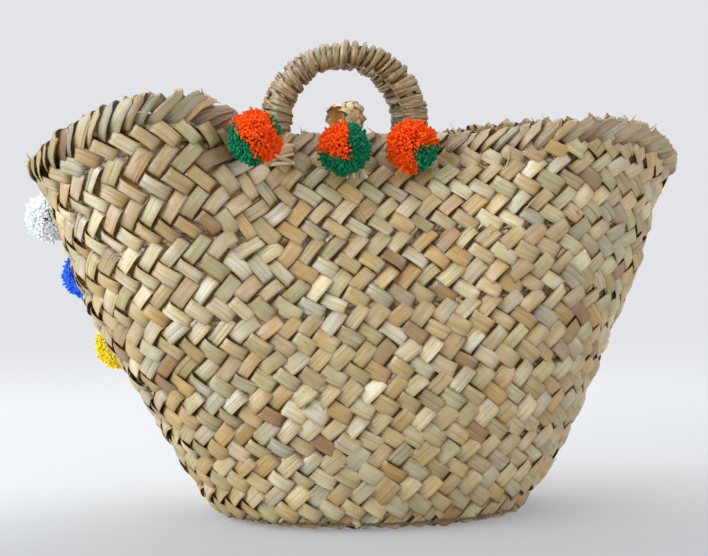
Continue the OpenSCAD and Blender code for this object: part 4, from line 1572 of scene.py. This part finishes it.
class BASKET_OT_stage(bpy.types.Operator):
    """Floor with a sweep behind it, soft lights and the camera"""

    bl_idname = "basket.stage"
    bl_label = "Stage"

    def execute(self, context):
        bpy.ops.object.select_all(action="DESELECT")
        bpy.ops.mesh.primitive_grid_add(x_subdivisions=2, y_subdivisions=40, size=1)
        floor = context.object
        floor.name = "floor"
        co = np.empty(len(floor.data.vertices)*3)
        floor.data.vertices.foreach_get("co", co)
        co = co.reshape(-1, 3)
        run = (co[:, 1] + 0.5)*FLOOR_LENGTH
        turn = np.clip((run - FLOOR_BEND)/FLOOR_RADIUS, 0, math.pi/2)
        rest = np.clip(run - FLOOR_BEND - FLOOR_RADIUS*math.pi/2, 0, None)
        y = np.minimum(run, FLOOR_BEND) + FLOOR_RADIUS*np.sin(turn) - FLOOR_FRONT
        z = FLOOR_RADIUS*(1 - np.cos(turn)) + rest
        co = np.stack([co[:, 0]*FLOOR_WIDTH, y, z], -1)
        floor.data.vertices.foreach_set("co", co.ravel())
        bpy.ops.object.shade_smooth()
        floor.data.materials.append(floor_finish("studio_floor"))
        for name, lamp in LAMPS.items():
            self.lamp(name, *lamp)
        context.scene.world = bpy.data.worlds.new("soft_room")
        self.sky(context.scene.world, context.scene.basket_colours)
        self.camera(context)
        context.scene.view_settings.view_transform = "Standard"
        return {"FINISHED"}

    def sky(self, world, colours):
        """Soft light from all round, that shows to the camera as the backdrop's colour."""
        p = Paint(world)
        light = p.node("ShaderNodeBackground", {}, {"Color": SKY_COLOUR, "Strength": SKY_POWER})
        shown = p.node("ShaderNodeBackground", {}, {"Color": (*colours.backdrop, 1)})
        mixed = p.node("ShaderNodeMixShader", {}, {0: seen_ray(p), 1: light, 2: shown})
        p.end(mixed, "ShaderNodeOutputWorld")

    def lamp(self, name, place, target, size, power, colour):
        data = bpy.data.lights.new(name, "AREA")
        data.color = colour
        data.size = size
        data.energy = power
        lamp = bpy.data.objects.new(name, data)
        bpy.context.scene.collection.objects.link(lamp)
        self.aim(lamp, place, target)

    def aim(self, thing, place, target):
        ahead = unit(np.array(target, float) - np.array(place, float))
        right = unit(np.cross(ahead, (0, 0, 1)))
        up = np.cross(right, ahead)
        rows = np.eye(4)
        rows[:3, 0], rows[:3, 1], rows[:3, 2], rows[:3, 3] = right, up, -ahead, place
        thing.matrix_world = Matrix(rows.tolist())

    def camera(self, context):
        data = bpy.data.cameras.new("camera")
        camera = bpy.data.objects.new("camera", data)
        context.scene.collection.objects.link(camera)
        data.sensor_fit = "HORIZONTAL"
        data.sensor_width = SENSOR
        data.lens = SENSOR*FOCUS/PICTURE
        place = np.array([math.sin(CAMERA_TURN)*CAMERA_AWAY, -math.cos(CAMERA_TURN)*CAMERA_AWAY,
                          CAMERA_HEIGHT])
        swing = math.atan((CENTRE - PICTURE/2)/FOCUS)
        ahead = np.array(CAMERA_AIM) - place
        c, s = math.cos(swing), math.sin(swing)
        ahead = np.array([c*ahead[0] - s*ahead[1], s*ahead[0] + c*ahead[1], ahead[2]])
        self.aim(camera, place, place + ahead)
        context.scene.camera = camera


class BASKET_OT_wall(bpy.types.Operator):
    """Five courses of the coiled plait"""

    bl_idname = "basket.wall"
    bl_label = "Wall"

    def execute(self, context):
        sizes = context.scene.basket_sizes
        for k in range(COURSES):
            rng = np.random.default_rng(COURSE_SEED + k)
            strands = Strands()
            first = k*COURSE_ROWS
            columns = round(girth((first + COURSE_ROWS/2)/WALL_ROWS)/(sizes.leaf_pitch/MM))
            sheet = Sheet((first - 1)/WALL_ROWS, (first + COURSE_ROWS + 1)/WALL_ROWS)
            tall = 1 + ROW_SPREAD*(1 - 2*(first + COURSE_ROWS/2)/WALL_ROWS)
            plait(strands, sheet, columns, first, COURSE_ROWS, WALL_ROWS, rng,
                  sizes.plait_height/MM, sizes.leaf_width/MM*tall)
            strands.settle(f"plait_{k + 1}", "basket", "palm_plait", f"wall_band_{k + 1}")
        return {"FINISHED"}


class BASKET_OT_rim(bpy.types.Operator):
    """Last half course, folded over the edge"""

    bl_idname = "basket.rim"
    bl_label = "Rim"

    def execute(self, context):
        sizes = context.scene.basket_sizes
        strands = Strands()
        rim_leaves(strands, np.random.default_rng(RIM_SEED), sizes.plait_height/MM, sizes.leaf_width/MM)
        strands.settle("rim_plait", "basket", "palm_plait", "rim_band")
        loose = Strands()
        rng = np.random.default_rng(FIBRE_SEED)
        loose_ends(loose, rng)
        straw_tuft(loose, rng)
        loose.settle("loose_fibres", "basket", "palm_lashing")
        return {"FINISHED"}


class BASKET_OT_base(bpy.types.Operator):
    """Middle plait of the base and the first turn of the coil round it"""

    bl_idname = "basket.base"
    bl_label = "Base"

    def execute(self, context):
        sizes = context.scene.basket_sizes
        ring = Strands()
        plait(ring, ring_sheet, RING_COLUMNS, 0, COURSE_ROWS, COURSE_ROWS, np.random.default_rng(RING_SEED),
              BASE_HEIGHT, sizes.leaf_width/MM)
        ring.settle("base_turn", "basket", "palm_plait", "base_ring_plait")
        core = Strands()
        open_plait(core, core_sheet, CORE_COLUMNS, RIM_ROWS, np.random.default_rng(CORE_SEED),
                   BASE_HEIGHT, sizes.leaf_width/MM*CORE_NARROW)
        core.settle("base_core", "basket", "palm_plait", "base_centre_plait")
        return {"FINISHED"}


class BASKET_OT_cords(bpy.types.Operator):
    """Twisted cords that sew the turns of the coil together"""

    bl_idname = "basket.cords"
    bl_label = "Sewing cords"

    def execute(self, context):
        rng = np.random.default_rng(CORD_SEED)
        u = np.linspace(0, 1, CORD_STEPS)
        angle = EVEN[0][::2]
        foot, _, up, out = wall_frame(foot_share(angle), angle)
        self.cord("sewing_0", "foot_seam_cord", foot - up*CORD_SEAT, out, rng)
        for k in range(1, COURSES + 1):
            place, _, out = wall_sheet(np.full(u.shape, k*COURSE_ROWS/WALL_ROWS), u)
            self.cord(f"sewing_{k}", f"seam_cord_{k}", place, out, rng)
        line = closed_outline(stadium(CORE_HALF, CORE_R + CORD_SEAT), BASE_CORD_STEPS)
        place = np.column_stack([line, np.full(len(line), BASE_MIDDLE)])
        self.cord("sewing_base", "base_seam_cord", place, np.tile([0.0, 0.0, 1.0], (len(line), 1)), rng)
        return {"FINISHED"}

    def cord(self, name, node, path, face, rng):
        strands = Strands()
        tints = plain_tints(rng, CORD_PLIES[0], leaf_shades()[CORD_SHADES])
        twisted(strands, path, face, CORD_PLIES, tints, CORD_CORNERS)
        strands.settle(name, "basket", "palm_cord", node)


class BASKET_OT_handles(bpy.types.Operator):
    """Two rope handles wound with leaf, their tails, lashings and bends"""

    bl_idname = "basket.handles"
    bl_label = "Handles"

    def execute(self, context):
        for name, side, seed in HANDLE_SEEDS:
            rng = np.random.default_rng(seed)
            body = f"{name}_handle"
            middle, leg = handle_frame(side)
            rope = Strands()
            length = np.linspace(-ROPE_PAST, 2*leg + math.pi*HANDLE_HALF + ROPE_PAST, ROPE_STEPS)
            spot, _ = arch_line(length, leg)
            face = np.broadcast_to(np.array([0.0, 1.0, 0.0]), spot.shape)
            tints = plain_tints(rng, ROPE_PLIES[0], leaf_shades()[HANDLE_SHADES])
            twisted(rope, middle + spot, face, ROPE_PLIES, tints)
            rope.settle(f"{name}_rope", body, "palm_rope", f"{body}_rope")
            winding = Strands()
            wind_handle(winding, side, rng)
            winding.settle(f"{name}_winding", body, "palm_wrap", f"{body}_wrap")
            bends = Strands()
            for end, x in (("left", HANDLE_X - HANDLE_HALF), ("right", HANDLE_X + HANDLE_HALF)):
                pivot = np.array([x, side*HANDLE_Y, HANDLE_Z])
                bend(bends, pivot, rng, ROPE_R)
                hanging = Strands()
                tail(hanging, pivot, x, side, ROPE_R, rng)
                hanging.settle(f"{name}_end_{end}", "basket", "palm_rope", f"{name}_tail_{end}")
                binding = Strands()
                lash(binding, pivot, x, side, ROPE_R, HANDLE_RISE, rng)
                binding.settle(f"{name}_binding_{end}", "basket", "palm_lashing",
                               f"{name}_lashing_{end}")
            piece = bends.build(f"{name}_bends", "palm_rope")
            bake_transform(piece)
        return {"FINISHED"}


class BASKET_OT_loop(bpy.types.Operator):
    """Braided closing loop, its tail and its lashing"""

    bl_idname = "basket.loop"
    bl_label = "Closing loop"

    def execute(self, context):
        rng = np.random.default_rng(LOOP_SEED)
        loop = Strands()
        braid_loop(loop, rng)
        loop.settle("loop_braid", "closing_loop_body", "palm_braid", "closing_loop")
        pivot = np.array(LOOP_PIVOT)
        hanging = Strands()
        tail(hanging, pivot, LOOP_PIVOT[0], 1, NECK_R, rng)
        hanging.settle("loop_end", "basket", "palm_rope", "loop_tail")
        binding = Strands()
        lash(binding, pivot, LOOP_PIVOT[0], 1, NECK_R, NECK_RISE, rng)
        binding.settle("loop_binding", "basket", "palm_lashing", "loop_lashing")
        bends = Strands()
        bend(bends, pivot, rng, NECK_R)
        piece = bends.build("loop_bend", "palm_braid")
        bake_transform(piece)
        return {"FINISHED"}


class BASKET_OT_pompoms(bpy.types.Operator):
    """Yarn pompoms, their ties and the knots inside the wall"""

    bl_idname = "basket.pompoms"
    bl_label = "Pompoms"

    def execute(self, context):
        c = context.scene.basket_colours
        for k, (name, ball) in enumerate({**FRONT_BALLS, **REAR_BALLS}.items()):
            rng = np.random.default_rng(BALL_SEED + k)
            place, centre, along, out = ball_place(ball)
            ways = ball_directions(BALL_ENDS)
            body = f"pompom_{name}"
            if name in FRONT_BALLS:
                inside = green_part(name, ways)
                self.yarn(body, "green_yarn", f"{body}_green", centre, ways[inside], rng, (c.green, c.pine))
                self.yarn(body, "orange_yarn", f"{body}_orange", centre, ways[~inside], rng,
                          (c.orange, c.orange, c.flame))
            else:
                self.yarn(body, f"{name}_yarn", f"{body}_yarn", centre, ways, rng, (getattr(c, name),))
            self.tie(name, place, centre, along, out, rng, c)
        return {"FINISHED"}

    def yarn(self, body, slot, node, centre, ways, rng, shades):
        strands = Strands()
        tufts(strands, centre, ways, rng, shades)
        strands.settle(f"{body}_{slot}_tufts", body, slot, node)

    def tie(self, name, place, centre, along, out, rng, c):
        shades = (c.cream, c.straw)
        root = place + out*(ROOT_OUT + TIE_START)
        line = root + (centre - root)*np.linspace(0, TIE_REACH, TIE_STEPS)[:, None]
        cord = Strands()
        twisted(cord, line, np.broadcast_to(along, line.shape), TIE_PLIES, plain_tints(rng, 2, shades))
        cord.settle(f"pompom_{name}_cord", f"pompom_{name}", "tie_yarn", f"pompom_{name}_tie")
        knot = Strands()
        inside = place - out*(SHELL/2 + RIM_ROLL + GAP + KNOT_IN)
        through = inside + out*np.linspace(0, SHELL + KNOT_CORD, KNOT_CORD_STEPS)[:, None]
        twisted(knot, through, np.broadcast_to(along, through.shape), KNOT_PLIES, plain_tints(rng, 2, shades))
        a = np.linspace(0, FULL_TURN, KNOT_STEPS)
        ring = ranged(np.cos(3*a), *KNOT_RING)
        across = np.cross(out, along)
        path = (inside + along*(ring*np.cos(2*a))[:, None] + across*(ring*np.sin(2*a))[:, None]
                + out*(KNOT_SWAY*np.sin(3*a))[:, None])[None]
        knot.yarns(path, np.broadcast_to(out, path.shape), KNOT_R, plain_tints(rng, 1, shades)[None])
        knot.settle(f"pompom_{name}_stop", "basket", "tie_yarn", f"pompom_{name}_knot")


class BASKET_PT_panel(bpy.types.Panel):
    """Lists the pieces"""

    bl_label = "Basket"
    bl_idname = "BASKET_PT_panel"
    bl_space_type = "VIEW_3D"
    bl_region_type = "UI"
    bl_category = "Basket"

    def draw(self, context):
        for group in (context.scene.basket_sizes, context.scene.basket_colours):
            for key in group.__annotations__:
                self.layout.prop(group, key)
        for operator in OPERATORS:
            self.layout.operator(operator.bl_idname)


OPERATORS = (BASKET_OT_stage, BASKET_OT_wall, BASKET_OT_rim, BASKET_OT_base, BASKET_OT_cords,
             BASKET_OT_handles, BASKET_OT_loop, BASKET_OT_pompoms)
CLASSES = (BasketSizes, BasketColours, *OPERATORS, BASKET_PT_panel)


def register():
    for made in CLASSES:
        bpy.utils.register_class(made)
    bpy.types.Scene.basket_sizes = bpy.props.PointerProperty(type=BasketSizes)
    bpy.types.Scene.basket_colours = bpy.props.PointerProperty(type=BasketColours)


def unregister():
    del bpy.types.Scene.basket_sizes
    del bpy.types.Scene.basket_colours
    for made in reversed(CLASSES):
        bpy.utils.unregister_class(made)


def main():
    register()
    bpy.ops.basket.stage()
    bpy.ops.basket.wall()
    bpy.ops.basket.rim()
    bpy.ops.basket.base()
    bpy.ops.basket.cords()
    bpy.ops.basket.handles()
    bpy.ops.basket.loop()
    bpy.ops.basket.pompoms()


if __name__ == "__main__":
    main()
